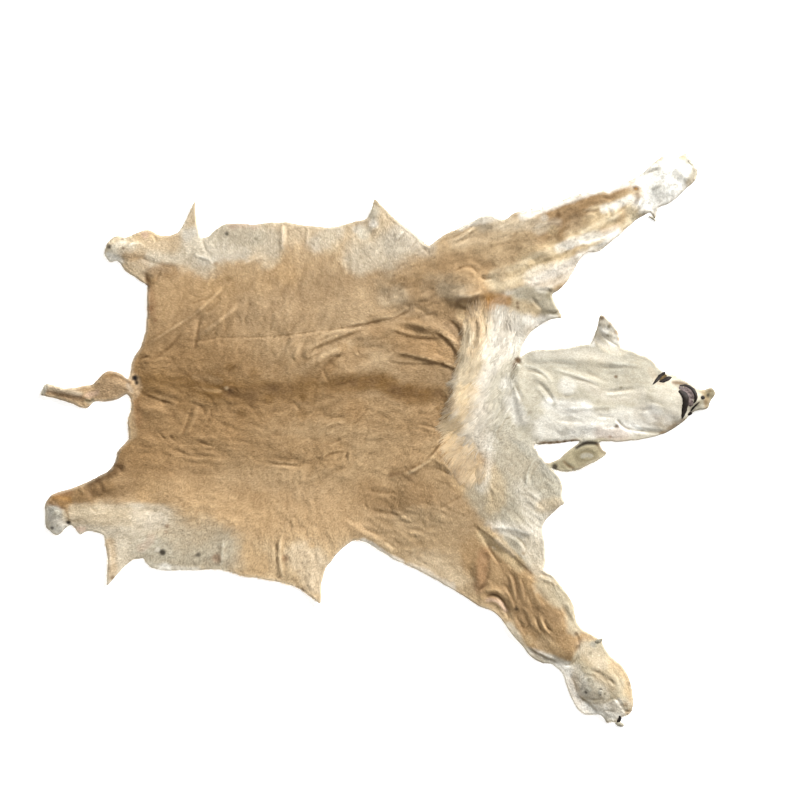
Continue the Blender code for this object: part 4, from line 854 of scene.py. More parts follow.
# %% The strokes of colour
# dye, strength, three places x y that it runs through, half width in cm, soft edge in cm
STROKES = (
    # trunk: from the flanks in to the spine
    ("straw", 0.9, -56, 56, -20, 57, 8, 57, 5, 8),
    ("fawn", 0.95, -66, 30, -25, 31, 20, 34, 9, 15),
    ("fawn", 0.95, -66, 0, -25, -3, 18, -5, 12, 15),
    ("hazel", 0.85, -42, 2, -15, 0, 8, -4, 8, 12),
    ("camel", 0.5, -32, -3, -22, -3, -12, -4, 2.4, 4),
    ("tan", 0.75, 8, -21, 14, -22, 20, -23, 1.6, 4),
    ("straw", 0.45, 2, 43, 5, 40.6, 8, 38, 1.4, 2.6),
    ("brown", 0.6, -36, -16.4, -33.3, -16.1, -30, -16.4, 1, 2.4),
    ("hazel", 0.5, -30, 25, -10, 24, 10, 24, 3, 9),
    ("camel", 0.9, -66, 5, -60, 12, -44, 12, 9, 14),
    ("camel", 0.45, -66, 26, -58, 30, -48, 33, 5, 10),
    ("camel", 0.5, -68, -8, -60, -9, -50, -8, 3, 8),
    ("orange", 0.5, -60, 38, -52, 42, -44, 42, 3, 6),
    ("stripe", 0.65, -66, 15.4, -57, 15.6, -46, 14.8, 1.4, 4.4),
    ("stripe", 0.4, -65, 16.4, -57, 16.6, -50, 15.4, 0.3, 1.6),
    ("stripe", 0.95, -44, 13.8, -34, 13.4, -18, 14.4, 1.2, 3.6),
    ("umber", 0.55, -42, 13.2, -34, 13.4, -24, 14.6, 0.6, 2),
    ("stripe", 0.3, -22, 14.5, -15, 15, -8, 15, 1, 4),
    ("stripe", 0.9, -13, 15.2, -5, 16, 3, 15.8, 1, 2.8),
    ("umber", 0.4, -10, 15.6, -5, 15.8, 0, 16.2, 0.3, 1.4),
    ("orange", 0.45, -50, 14.6, -47, 14, -43.4, 13.6, 0.1, 0.6),
    ("fawn", 0.35, -50, 17.4, -47, 17, -43.6, 16.2, 0.3, 1.2),
    ("tan", 0.45, -8, 21.6, -2, 22.4, 4, 21.4, 1.2, 2.4),
    ("tan", 0.35, -21, 19.4, -15, 23, -8, 26, 0.8, 1.6),
    ("camel", 0.6, -16, 17.4, -14.6, 18.4, -12.6, 20.4, 0.6, 1.6),
    ("stripe", 0.9, 2, 14.8, 10, 12.8, 19, 12.6, 1.2, 3),
    ("brown", 0.5, 10, 22, 18, 18, 20, 6, 4, 7),
    ("umber", 0.6, 4, 14, 10, 12.8, 17, 12.4, 0.5, 2),
    ("fawn", 0.6, -1, 38, 3, 41, 7, 40, 3, 5),
    ("camel", 0.55, 2, 32, 8, 29.4, 17, 25, 2.6, 4),
    ("camel", 0.6, -34, 10.4, -22, 9.4, -8, 10, 2.6, 4.6),
    ("camel", 0.5, -26, 19.4, -15, 20, -6, 22.6, 1.6, 3.6),
    ("camel", 0.4, -4, 8, 6, 7, 16, 7, 2.4, 5),
    ("tan", 0.4, -12, 34, -4, 38, 2, 36, 2, 6),
    # flanks and belly edges
    ("orange", 0.7, -62, -15.5, -50, -17, -32, -20, 2.2, 6),
    ("orange", 0.55, -34, -20, -22, -22, -8, -20, 2.6, 6),
    ("orange", 0.45, -44, 44.5, -36, 45, -26, 46.5, 2, 6),
    ("orange", 0.5, -25, 48, -18, 51, -11, 52, 1.6, 5),
    ("cream", 0.35, -20, -32, -17, -36, -15, -42, 3, 3),
    ("fawn", 0.45, -56, -18, -30, -21, -6, -21, 3.4, 6),
    ("hazel", 0.6, 0, -24.4, 5, -26.4, 11, -30, 1.4, 3),
    ("white", 0.7, -4, -28, 1, -31.2, 6, -33.6, 0.5, 1.2),
    ("white", 0.75, 9, -35, 14.9, -37.8, 20, -40.4, 0.6, 1.4),
    ("white", 0.7, -62, -34.6, -57, -35.4, -50, -35.8, 0.5, 1.4),
    ("tan", 0.75, -73.4, -39, -71, -37, -68.4, -34.6, 1.4, 2),
    ("tan", 0.6, -85, -26.4, -82, -26.8, -78, -25.6, 0.6, 1.4),
    ("tan", 0.7, -26, -40.6, -20, -42.6, -14, -44, 0.8, 1.4),
    ("tan", 0.6, -14.8, -43, -14.2, -40, -14, -36, 0.6, 1.6),
    ("chalk", 0.6, -6, 58, -3.4, 60, -1.4, 62.4, 0.5, 1.2),
    ("orange", 0.45, -37, -30, -34, -32, -33, -35, 1.5, 3),
    ("cream", 0.9, -84, -22.4, -72, -23, -61, -22.6, 4.4, 2),
    ("cream", 0.9, -73, -34, -68, -30, -60, -26, 4, 6),
    ("stone", 0.8, -60, -31, -52, -29, -45, -30, 4, 6),
    ("tan", 0.35, -60, -22, -54, -25, -48, -24, 2, 5),
    ("cream", 0.85, -62, 52, -54, 53, -48, 52, 3.4, 5),
    ("tan", 0.7, -66, 58, -62, 57.6, -57, 56.6, 0.8, 1.8),
    ("chalk", 0.7, -47, 50.6, -42, 51.8, -37, 51.6, 1, 2.4),
    ("straw", 0.8, -30, 49, -28.4, 52, -28.2, 57, 1, 2),
    ("straw", 0.5, 2, 39, 4.7, 40.6, 8, 40.6, 1.2, 2.4),
    ("milk", 0.85, -4, 56.8, -2.2, 60, -1, 63, 0.6, 1.8),
    ("cream", 0.7, -47, 54.6, -40, 55, -31, 54.6, 3, 3.4),
    ("stone", 0.35, -44, 56.6, -38, 57, -33, 56, 1.6, 2.4),
    ("chalk", 0.8, -53, 56, -51.5, 56.5, -50.5, 57.4, 0.5, 2),
    ("pink", 0.5, -40, 59.4, -37, 60, -34, 59.6, 0.4, 1.6),
    ("chalk", 0.6, -17, 54, -14, 55.5, -12, 56.5, 0.8, 3),
    ("orange", 0.45, -6, 60.4, -4, 60.4, -2.5, 60, 0.4, 1.5),
    ("chalk", 0.6, 5, 54, 8, 56, 12, 54, 1.6, 4),
    ("cream", 0.7, -5, 50, 0, 51, 6, 51, 1.6, 5),
    ("russet", 0.3, -67, 14, -66.4, 10, -66, 5, 0.4, 1.6),
    ("tan", 0.7, -69, 9, -68.4, 6, -68.2, 2, 0.9, 1.6),
    ("russet", 0.4, -63.2, 42, -62.8, 38.6, -62.6, 35, 0.5, 2),
    # shoulders
    ("brown", 0.65, 8, 43, 13, 43.5, 18, 38, 3, 6),
    ("hazel", 0.3, 14, 50, 22, 52, 32, 54, 3, 6),
    # painted shade: the crest of this fold is painted darker where it faces the lamp
    ("brown", 0.7, 19, 47.6, 25, 48, 31, 45.4, 1.8, 2.6),
    # painted light: lighter where this fold's slope turns from the lamp
    ("straw", 0.25, 15, 42, 19, 42.6, 23, 42.2, 2, 3),
    ("hazel", 0.6, 23, 44.6, 27, 45, 31, 44, 1.4, 2),
    ("brown", 0.5, 8, 41.4, 13, 41, 17, 38.6, 1.6, 3),
    # painted shadow under the edge of the fold that lies over the shoulder
    ("umber", 0.65, 22.6, 37.6, 25.4, 37.4, 28.8, 38.4, 0.8, 1.4),
    ("ochre", 0.95, 30.6, 38.8, 32.8, 38.8, 35.4, 38.2, 0.9, 1.6),
    ("brown", 0.6, 30, 41, 33, 40.6, 36, 40, 0.7, 1.5),
    # painted shade along the crease beside it
    ("umber", 0.5, 19.5, 31.6, 21.4, 31, 22.8, 28.6, 0.6, 1.6),
    ("hazel", 0.45, 2, -12, 12, -18, 22, -22, 7, 9),
    ("brown", 0.85, -3, -14.8, 4, -15.8, 12, -14.4, 2, 4),
    # painted shade along a lap
    ("umber", 0.7, 18.6, 1.4, 16.8, -2, 13.4, -5.4, 0.2, 0.8),
    # painted shade along a lap
    ("umber", 0.6, 3.4, -9.2, 6.2, -9.3, 9.2, -10.4, 0.3, 1),
    # painted highlight on the raised side of that lap
    ("tan", 0.7, 14.4, -5.4, 11.6, -7.2, 8.6, -8.8, 0.15, 0.7),
    ("hazel", 0.8, 15, -3.6, 17.6, -5.6, 20.6, -8.6, 1.8, 2.4),
    # painted shade along a crease
    ("umber", 0.5, 16.6, -7.6, 18.6, -8.4, 20.4, -9.8, 0.3, 1),
    ("brown", 0.5, 8, -6, 12, -3, 16, 1, 2.4, 5),
    ("straw", 0.6, 12, -35, 17, -36, 21, -38, 1.6, 5),
    # neck: tan at the brown boundary, then white
    ("wheat", 1, 27.8, 33, 26.4, 24, 25.2, 15, 3.2, 1.3),
    ("sand", 0.7, 24, 35, 27.6, 34, 31, 34.4, 1.2, 2),
    ("hazel", 0.75, 23.6, 36.8, 28, 36.6, 32.6, 37.8, 1, 1.8),
    ("orange", 0.7, 29, 38.4, 33, 38.8, 37, 38.2, 0.8, 1.6),
    ("ochre", 0.9, 31, 38.8, 32.8, 38.8, 34.8, 38.3, 0.5, 1.2),
    ("fawn", 0.85, 19.4, -5.4, 21, -8.6, 24, -12.4, 1.4, 2.2),
    ("tan", 0.8, 27.4, 35, 28, 30, 26.4, 26, 0.7, 1.5),
    ("sand", 0.8, 24.4, 12, 23.4, 6, 23.6, -1, 2.8, 2.4),
    ("sand", 0.9, 22.8, 0, 22.4, -6, 25.6, -12, 2.6, 2.4),
    ("tan", 0.8, 24, -4, 26, -9, 29, -14, 1.6, 2.6),
    ("sand", 0.6, 28, -15, 31.4, -18, 34, -23, 2.4, 3),
    ("cream", 0.5, 34, -3, 37, -8, 37, -16, 2.4, 3),
    ("orange", 0.45, 21.6, 0, 22.6, -6, 23.6, -12, 1.8, 3),
    ("hazel", 0.95, 15.4, -1.6, 15.2, -5, 17.6, -10.4, 1.4, 2.2),
    ("chalk", 0.95, 36.4, 36, 35.4, 25, 34, 16, 3.6, 3.4),
    ("chalk", 0.85, 33, 16, 31, 7, 29.6, 1, 3.4, 3.4),
    ("chalk", 0.5, 21.4, 17, 20.8, 13, 22, 9, 0.7, 1.6),
    ("chalk", 0.6, 38.4, 27, 41.6, 31.4, 47, 34, 1.4, 2),
    ("stone", 0.45, 36, 15, 35, 10, 33, 6, 2, 4),
    ("stone", 0.85, 39, 2, 40, -12, 42, -26, 6, 4),
    ("stone", 0.7, 30, -14, 34, -20, 38, -28, 3.6, 4),
    ("stone", 0.95, 47, -7, 50, -14, 46, -26, 5, 3),
    ("ash", 0.7, 49, -8, 53, -13, 50, -20, 2.4, 2),
    # painted shade on the chest under the head's edge
    ("ash", 0.6, 39, -1.8, 43, -3.4, 47, -5.6, 1.2, 2),
    # painted shadow line under the head's edge
    ("olive", 0.6, 43.4, -2.8, 45.6, -4.8, 48.6, -7.2, 0.1, 0.7),
    ("moss", 0.6, 42, 39.4, 47, 39, 50.4, 36, 1.6, 2),
    ("sand", 0.5, 41, 38, 44, 37.4, 46, 37.2, 0.8, 1.6),
    ("grey", 0.85, 46.6, -7.4, 52.2, -12, 50.4, -20, 1.4, 2.2),
    # painted shade under the head's edge
    ("grey", 0.7, 37.4, 1.4, 40.4, -1.6, 46.6, -5.6, 0.9, 1.8),
    ("grey", 0.8, 46.4, -23.4, 47.4, -29, 47.6, -37, 0.8, 1.8),
    ("white", 0.5, 41.6, 33.2, 45, 32.2, 47.6, 33, 0.9, 1.6),
    ("sand", 0.45, 31, -9, 32.6, -13, 32, -17, 1.2, 3),
    ("chalk", 0.5, 31, 1, 30.4, -6, 28.6, -13, 0.6, 1.8),
    ("chalk", 0.7, 31, -24.4, 37, -24.2, 43, -26.6, 0.8, 2),
    ("chalk", 0.45, 41, -14, 43, -19, 44.6, -28, 2.2, 3),
    ("ash", 0.6, 42, -11, 46, -12.4, 50, -13.4, 1.2, 2.4),
    ("sand", 0.4, 45, -18, 47.4, -18, 49.4, -17.4, 0.8, 2),
    ("cream", 0.8, 42, -29, 43.4, -32, 44.4, -35, 1.8, 2.4),
    ("stone", 0.85, 40, 39, 44, 39, 48, 38, 2.4, 2.4),
    ("sand", 0.6, 37, 38, 40, 36.6, 43, 35.6, 0.8, 2),
    # painted shade along a crease
    ("olive", 0.55, 45.4, 35.7, 48, 35, 50.4, 35.6, 0.2, 0.9),
    ("ochre", 0.75, 30.4, 38.9, 32.8, 38.9, 35.6, 38.3, 0.8, 1.3),
    ("brown", 0.5, 29, 39.6, 31, 40.2, 34, 40.4, 0.3, 0.9),
    ("straw", 0.5, 17.6, 41.4, 19.8, 40.8, 22.4, 41, 0.8, 1.8),
    ("hazel", 0.85, 19.6, -5, 21.2, -7.4, 22.6, -10.4, 1, 1.6),
    ("tan", 0.85, 24.4, -2, 25.6, -5.4, 27.4, -9, 1.2, 2),
    ("brown", 0.5, 25.4, 34.6, 26.7, 33.1, 28.2, 31.4, 0.8, 1.6),
    ("hazel", 0.75, 19.2, 14.2, 20.6, 12.4, 21.4, 10.2, 0.7, 1.4),
    ("hazel", 0.5, 16.4, -1.6, 17.3, -2.9, 18.4, -4.2, 0.7, 1.4),
    ("moss", 0.5, 47.4, 39.8, 49.6, 38.6, 51, 37.2, 0.6, 1),
    ("sand", 0.6, 19.8, 7.4, 20.4, 5.6, 20.6, 3.4, 0.6, 1.2),
    # head
    ("linen", 1, 46, 12.5, 64, 12, 84, 11, 13.5, 2.4),
    ("ash", 0.4, 42, 20.4, 50, 21.4, 60, 20.6, 1, 2.4),
    ("ash", 0.25, 52, 7, 60, 8, 70, 9, 1, 3),
    # painted light: the near cheek is painted paler because it slopes from the lamp
    ("white", 0.4, 46, 4, 62, 4.6, 74, 5.6, 2, 3.4),
    # painted shade: the far cheek is painted darker because it faces the lamp
    ("grey", 0.6, 44, 23.4, 62, 23.4, 76, 19, 1.8, 4),
    ("olive", 0.55, 82, 15.4, 83, 14.6, 84.4, 14, 0.4, 0.8),
    ("brown", 0.35, 74.8, 19.4, 76.6, 16.4, 78, 15.6, 0.4, 1.2),
    ("white", 0.6, 59, 26.4, 59.4, 29.6, 60.2, 32, 0.3, 0.9),
    # painted shade along a crease at the head's left edge
    ("ash", 0.3, 40.6, 3, 41.4, 5.5, 42, 8.4, 0.8, 2),
    ("white", 0.4, 37, 12, 38, 9, 39.6, 6, 1, 2),
    # painted shade on the far cheek, which faces the lamp
    ("ash", 0.5, 58, 21.6, 66, 21.2, 73, 19, 1.8, 3.4),
    # painted light over the shade of a fold by the muzzle
    ("chalk", 0.65, 73, 8, 76.6, 6.6, 80.6, 5.6, 1.4, 3),
    ("olive", 0.45, 78.6, 2.2, 81.6, 4, 84.2, 6.2, 0.35, 0.9),
    ("chalk", 0.6, 62.6, 31.8, 63.8, 29.8, 65.4, 27.8, 1.2, 1.2),
    # painted light over the shade of a crease
    ("white", 0.55, 47, 10, 52, 9, 57, 9, 0.7, 2.2),
    # painted shade on the far cheek, which faces the lamp
    ("ash", 0.6, 60, 22.6, 66.6, 22.1, 71, 20.4, 1.4, 2.6),
    ("white", 0.45, 54, 2.8, 62, 2.8, 72, 3.6, 0.8, 2),
    ("pink", 0.35, 61, 2, 64, 1.6, 67, 1.6, 1, 2),
    ("sand", 0.35, 75.6, 6.4, 78, 5.4, 81, 4.6, 0.6, 1.6),
    ("chalk", 0.4, 78, 13, 81, 12, 82, 8, 1.4, 2.4),
    ("chalk", 0.5, 56, 16, 64, 12.4, 72, 12.8, 0.7, 1.6),
    ("chalk", 0.4, 44, 24.6, 54, 24.2, 64, 23, 0.8, 1.6),
    ("milk", 1, 62, 33.6, 63.4, 30, 65.6, 27.4, 3.6, 1.4),
    # painted light: the ear is painted paler where it turns from the lamp
    ("white", 0.85, 62, 32, 63.4, 29.8, 65.2, 27.8, 1.2, 1.2),
    ("sand", 0.35, 61.6, 32.6, 62.6, 31, 64, 28.6, 0.7, 1.2),
    ("moss", 0.3, 62, 33.4, 63.8, 30.8, 65.8, 27.8, 1.4, 1.2),
    ("linen", 0.6, 62.4, 31.4, 63.2, 30, 64, 28.8, 0.3, 0.8),
    # painted shade along a crease of the ear
    ("olive", 0.4, 61.6, 29, 63.4, 27.6, 66.2, 26.1, 0.05, 0.4),
    ("chalk", 0.8, 60.4, 28, 62.4, 26.2, 65.6, 24.9, 0.2, 0.8),
    # painted shade along the fold of the jaw
    ("olive", 0.55, 66, 5.6, 68.6, 3.4, 73, 2.6, 0.05, 0.35),
    # painted shade along the fold of the jaw
    ("olive", 0.55, 72.6, 2.6, 76, 2.1, 79, 2.3, 0.05, 0.4),
    ("moss", 0.95, 50, -5, 55, -5.2, 61.6, -3.4, 3.2, 1.6),
    ("olive", 0.5, 61.4, -5.6, 62.6, -4.8, 63.6, -3.8, 0.4, 0.9),
    ("olive", 0.6, 55.2, -4.2, 57.4, -4.2, 59.4, -4.2, 0.9, 1.2),
    ("grey", 0.7, 56.2, -4.2, 57.4, -4, 58.6, -4.2, 0.2, 0.7),
    # painted shadow in the gap between the head's edge and the ear
    ("black", 0.9, 54.6, -1.9, 57, -0.8, 60.3, -0.9, 0.25, 0.5),
    # painted shadow under the head's lower edge
    ("umber", 0.9, 44.8, -0.7, 49.6, -0.5, 54.6, 0, 0.2, 0.6),
    ("umber", 0.5, 60.2, -1.2, 61.4, -2.4, 62.6, -3.4, 0.15, 0.6),
    # painted shade along a crease
    ("umber", 0.6, 51.2, -5.8, 52.2, -6.8, 53.8, -7.6, 0.1, 0.6),
    ("umber", 0.7, 74.8, 22.8, 76.4, 21, 78, 19.3, 0.05, 0.4),
    ("umber", 0.75, 81, 15.9, 83, 15.7, 85, 15.6, 0.15, 0.6),
    ("moss", 0.95, 90.6, 14.2, 91.6, 12.2, 91.8, 9.2, 1.5, 0.9),
    ("brown", 0.5, 89.4, 13.6, 90.4, 11.4, 90.2, 9.8, 0.4, 0.9),
    ("olive", 0.6, 91.2, 14, 92.4, 12.6, 91.6, 9.8, 0.7, 0.8),
    ("olive", 0.7, 87.4, 9.8, 88.6, 10.6, 89.8, 10.4, 0.3, 0.7),
    ("umber", 0.6, 80, 2.6, 82.4, 4.2, 83.8, 5.4, 0.3, 1),
    # far foreleg
    ("white", 0.6, 23, 59, 27.5, 60.4, 33, 61.6, 0.5, 1.3),
    ("straw", 0.4, 22, 55.4, 28, 56.5, 34, 57.6, 1.4, 2.4),
    ("chalk", 0.7, 57, 67.2, 61.6, 68.9, 65, 69.8, 0.3, 1.1),
    ("white", 0.8, 63.2, 69, 65.7, 69.8, 68, 70.8, 0.5, 1.2),
    ("sand", 0.5, 46, 56.4, 48.1, 57.3, 50.4, 58.2, 0.5, 1.4),
    ("brown", 0.12, 30, 52, 38, 55, 46, 58, 4, 4.5),
    ("brown", 0.85, 46, 59, 52, 61.2, 57, 63.4, 2.6, 3),
    ("ivory", 0.95, 56, 57.6, 62, 60.2, 68, 62, 2.8, 3),
    ("sand", 0.5, 40, 50.4, 47, 53, 54, 55.8, 0.8, 1.8),
    ("ivory", 0.8, 33, 43.5, 42, 47.6, 50, 51.4, 1.6, 2.4),
    ("white", 0.7, 50, 53, 57, 55.4, 65, 57.6, 0.6, 1.4),
    ("white", 0.35, 42, 44.6, 48, 46.6, 54, 48, 1, 2),
    ("sand", 0.6, 36, 45.4, 43, 48.4, 51, 51.8, 0.4, 1.3),
    ("white", 0.3, 45, 43.4, 50, 45.6, 55, 48.8, 1.4, 1.8),
    ("white", 0.7, 56, 50.6, 61, 52.6, 66, 56, 0.8, 1.6),
    ("white", 0.8, 40, 62, 50, 65.6, 60, 69, 0.5, 1.4),
    ("cream", 0.5, 44, 58, 46.5, 58.8, 49, 59.4, 0.8, 1.6),
    ("brown", 0.7, 50, 57.6, 53, 59, 56, 60.6, 1.2, 2),
    # painted shade along a crease
    ("umber", 0.5, 61, 66.8, 63, 66.7, 65.6, 67.6, 0.35, 0.9),
    ("umber", 0.5, 66.6, 68, 68.4, 68.3, 70, 69, 0.35, 0.9),
    # painted shade along a crease
    ("brown", 0.6, 56, 62.3, 58, 62.7, 60.4, 62.8, 0.35, 1),
    ("sand", 0.6, 57, 60.2, 61, 62.2, 66, 65.2, 0.6, 1.4),
    ("orange", 0.55, 62, 57.8, 66.2, 59.6, 67.4, 63.4, 0.4, 1.2),
    ("sand", 0.6, 42, 48.6, 50, 50.6, 57, 52.6, 0.4, 1),
    ("white", 1, 76.6, 68.8, 81, 71, 85, 75, 5.6, 3),
    ("brown", 0.6, 56, 65, 63, 66.6, 71, 69.2, 0.6, 1.4),
    ("sand", 0.6, 66.6, 65.4, 69, 67.4, 71.4, 68.2, 0.9, 1.6),
    ("white", 0.7, 62, 63.6, 66, 64.8, 69.4, 66.6, 0.5, 1.2),
    ("umber", 0.6, 71.2, 67.6, 71.4, 66.6, 70.9, 65.6, 0.3, 0.7),
    # painted shade along a crease
    ("olive", 0.35, 70.2, 62.2, 72, 64, 73, 66.4, 0.1, 0.7),
    ("olive", 0.4, 75.6, 69, 76.4, 69.4, 77, 69.9, 0.2, 0.7),
    ("grey", 0.5, 76.9, 67.6, 77.4, 67.9, 78, 68, 0.15, 0.7),
    ("grey", 0.3, 77.6, 70.8, 78, 72, 78.8, 73, 0.15, 0.7),
    ("olive", 0.35, 80.3, 70.1, 81.5, 70.2, 81.8, 68.6, 0.15, 0.7),
    ("olive", 0.5, 81.4, 66.8, 82.1, 67.1, 82.7, 67.5, 0.12, 0.6),
    ("olive", 0.45, 83.6, 67.6, 84.3, 69.6, 84.3, 71.6, 0.12, 0.8),
    ("sand", 0.75, 85.8, 70.8, 87.3, 72.2, 87.7, 74.6, 0.6, 1),
    ("olive", 0.4, 85.2, 72, 85.7, 73, 86.2, 74, 0.3, 0.8),
    ("grey", 0.8, 84.6, 77.6, 87, 76, 88.4, 73.4, 0.8, 1.3),
    ("olive", 0.5, 84.3, 75.2, 85.5, 76.5, 87, 77, 0.2, 0.8),
    ("sand", 0.6, 83, 77.4, 84, 78, 84.4, 79, 0.3, 0.8),
    ("umber", 0.35, 48, 60, 51, 61.4, 54, 62.4, 0.8, 2),
    ("cream", 0.5, 29, 59.6, 34, 60, 43, 59.8, 0.8, 2.4),
    # painted shade along a crease
    ("olive", 0.4, 56.6, 52.8, 60, 53.4, 62.4, 54.2, 0.4, 1.2),
    # painted shade along a crease
    ("olive", 0.65, 70.6, 60.8, 73, 62, 76, 61, 0.5, 1),
    ("olive", 0.4, 76, 63.2, 78, 64.2, 80, 65, 0.2, 0.9),
    ("white", 0.8, 75, 66, 77.8, 66.8, 80.4, 68, 1.4, 1.6),
    ("stone", 0.7, 85.6, 70.6, 87, 72.6, 87.4, 74.6, 0.7, 1.2),
    # painted shade along a crease
    ("olive", 0.45, 73, 73.4, 75, 74.2, 77, 74.6, 0.2, 0.9),
    # near foreleg
    ("honey", 0.95, 29, -31, 38, -43, 51, -56, 4.6, 4),
    ("honey", 0.9, 44, -52, 49, -56, 52.6, -58, 3.4, 2),
    ("orange", 0.6, 34, -30.4, 38, -34, 41.6, -39, 0.9, 2.2),
    # pale tan of the fold, with painted light on its slope that turns from the lamp
    ("sand", 0.95, 29, -25.8, 33, -29.2, 38.4, -34, 1.2, 1.6),
    # painted shade along the lap
    ("umber", 0.6, 26.4, -23.4, 33.6, -28.4, 42, -36.4, 0.05, 0.45),
    # painted shade along a crease
    ("umber", 0.5, 30.2, -28.6, 32.2, -32, 34.4, -35.4, 0.05, 0.5),
    ("tan", 0.6, 45, -55.4, 49, -58, 53, -60.6, 1, 1.8),
    ("russet", 0.5, 29, -31, 28.6, -35, 27.8, -40, 0.8, 1.6),
    ("umber", 0.5, 29.8, -31, 30.4, -36.4, 28, -40.8, 0.05, 0.7),
    ("umber", 0.35, 36.6, -38, 38.4, -43, 39.4, -50, 1.2, 2.6),
    ("umber", 0.4, 44.6, -46.6, 46.6, -47.4, 48.6, -49, 0.8, 2),
    ("orange", 0.5, 48.4, -56.8, 51, -58, 53.4, -58.6, 0.7, 1.8),
    ("milk", 0.95, 47, -60, 49.6, -61, 52.6, -62, 0.7, 1.2),
    ("oat", 0.9, 50.4, -41, 53.2, -46, 54.4, -51, 1.4, 2),
    ("tan", 0.7, 29, -45, 33, -46, 36.4, -50, 0.6, 1.4),
    ("pink", 0.5, 30.4, -43.8, 33, -44.2, 35, -46.6, 0.25, 0.8),
    # painted shade along a crease
    ("umber", 0.6, 30.4, -42.6, 33.4, -43, 36, -47, 0.05, 0.6),
    ("oat", 0.7, 45, -39.6, 47.6, -41, 49.6, -43.6, 1, 2.4),
    ("cream", 0.8, 36, -50.8, 38.6, -54.8, 41, -58.4, 0.5, 1.4),
    ("chalk", 0.8, 41.6, -58.2, 46.4, -60.2, 52, -63.4, 0.9, 1.4),
    ("olive", 0.4, 43.4, -59.6, 44.6, -60.2, 46, -60.6, 0.4, 0.9),
    ("oat", 1, 59.4, -61, 61.6, -67, 64, -73, 5.4, 1.6),
    ("oat", 1, 66, -62, 68.5, -67, 69, -73, 3, 1.6),
    ("sand", 0.5, 58, -59, 62, -61, 66, -63, 1.6, 2.4),
    ("cream", 0.5, 56.6, -57, 59, -58.6, 61, -60.6, 1.2, 2.4),
    # painted light: the paw's side that slopes from the lamp is painted whiter
    ("white", 0.65, 50.6, -63.2, 53.2, -70.8, 59, -76, 1.4, 2),
    # painted light on the shaded toes
    ("white", 0.5, 57.4, -73, 62, -73.4, 65.6, -72.2, 0.8, 1.6),
    # painted light on the shaded toes
    ("white", 0.6, 61, -75.6, 63.4, -76, 66.4, -74.4, 0.8, 1.2),
    ("tan", 0.75, 65.4, -60.6, 69.4, -65, 70.6, -71, 1, 1.6),
    ("oat", 0.6, 59.4, -64.6, 62.4, -65.9, 64.6, -68.4, 1.4, 2),
    ("chalk", 0.6, 54.2, -63.2, 55.4, -65.8, 56.8, -68.4, 0.8, 1.6),
    ("white", 0.18, 57.4, -66.6, 59.4, -67.6, 61.6, -69.4, 1.2, 1.6),
    ("straw", 0.7, 33, -27.6, 34.9, -29, 37, -30.8, 0.5, 1.2),
    ("brown", 0.3, 60.6, -64.4, 62.4, -65.9, 63.8, -67.4, 0.9, 1.6),
    # painted shade along a crease
    ("olive", 0.35, 54.8, -69.8, 57.4, -72.2, 60.4, -74.8, 0.05, 0.35),
    # painted light on the shaded toes
    ("white", 0.45, 62.8, -73, 64.2, -72.4, 65.8, -71.8, 0.5, 1),
    ("chalk", 0.6, 56.2, -69.2, 57.4, -69.8, 58.8, -70.6, 0.4, 1),
    # painted shade along a crease
    ("olive", 0.45, 58.4, -63, 61.4, -63.6, 64.6, -66.4, 0.05, 0.35),
    # painted shade along a crease
    ("olive", 0.25, 61.2, -72.6, 63, -71.6, 64.8, -70.4, 0.05, 0.35),
    ("sand", 0.6, 67.4, -64, 68.4, -66, 68.6, -69, 0.4, 1.4),
    ("olive", 0.4, 62.6, -76.6, 64, -77.4, 65, -78, 0.5, 1.2),
    ("brown", 0.7, 68.6, -75, 69.8, -74.4, 70.4, -73.2, 0.2, 1),
    ("cream", 0.6, 63.6, -72.4, 66, -73.4, 68, -72.4, 0.8, 1.6),
    # near hind leg
    ("brown", 0.9, -90, -15.6, -80, -14.6, -70, -12.4, 1.6, 2.4),
    ("stripe", 0.45, -84, -15.4, -79, -14.4, -74, -12.8, 0.8, 2),
    ("umber", 0.7, -79, -11.6, -75, -9.6, -70.6, -7.4, 0.5, 1.4),
    ("umber", 0.5, -71.8, -3.4, -71.9, -5, -71, -7, 0.3, 1.2),
    ("umber", 0.45, -79.4, -13, -78, -14.4, -76, -13.4, 0.7, 1.6),
    # painted shade along a crease
    ("umber", 0.6, -89.8, -16, -87.6, -17.6, -85.2, -19, 0.3, 1),
    ("russet", 0.5, -89, -14.8, -87, -14.5, -85, -14.4, 0.4, 1.2),
    ("camel", 0.5, -91, -14.4, -88.6, -13.4, -86, -13.2, 0.6, 1.2),
    # painted light: the paw is painted whiter where it slopes from the lamp
    ("chalk", 1, -90.2, -19.4, -88.8, -22, -87.2, -25, 2.6, 0.8),
    # painted light on the paw's shaded edge
    ("milk", 0.5, -91.6, -20, -91.2, -22.4, -89.8, -25, 0.5, 1),
    ("grey", 0.7, -89, -19, -88.2, -19.8, -87.2, -20.2, 0.7, 0.9),
    ("ochre", 0.55, -90.4, -16.6, -88, -16.4, -85.4, -16.8, 0.7, 1.2),
    ("camel", 0.8, -90.6, -16.4, -88.4, -17, -85.8, -17.8, 0.5, 0.7),
    # painted shade along the same crease
    ("umber", 0.75, -90, -17.2, -88.2, -18, -85.4, -19, 0.1, 0.5),
    ("umber", 0.8, -85.7, -19.2, -85, -20.6, -84.8, -22.8, 0.05, 0.5),
    ("sand", 0.4, -84, -20.4, -76, -20.4, -66, -21, 1.6, 2.2),
    ("chalk", 0.35, -66, -20, -63, -22, -60, -21.6, 1.2, 2.6),
    ("orange", 0.45, -73.6, -28, -73.4, -32, -73, -37, 0.5, 1.8),
    ("pink", 0.3, -65, -29.4, -63.4, -28, -62.4, -26.6, 0.4, 1.4),
    ("pink", 0.6, -83, -24.6, -81.8, -24.6, -80.8, -24.4, 0.3, 1),
    # far hind leg
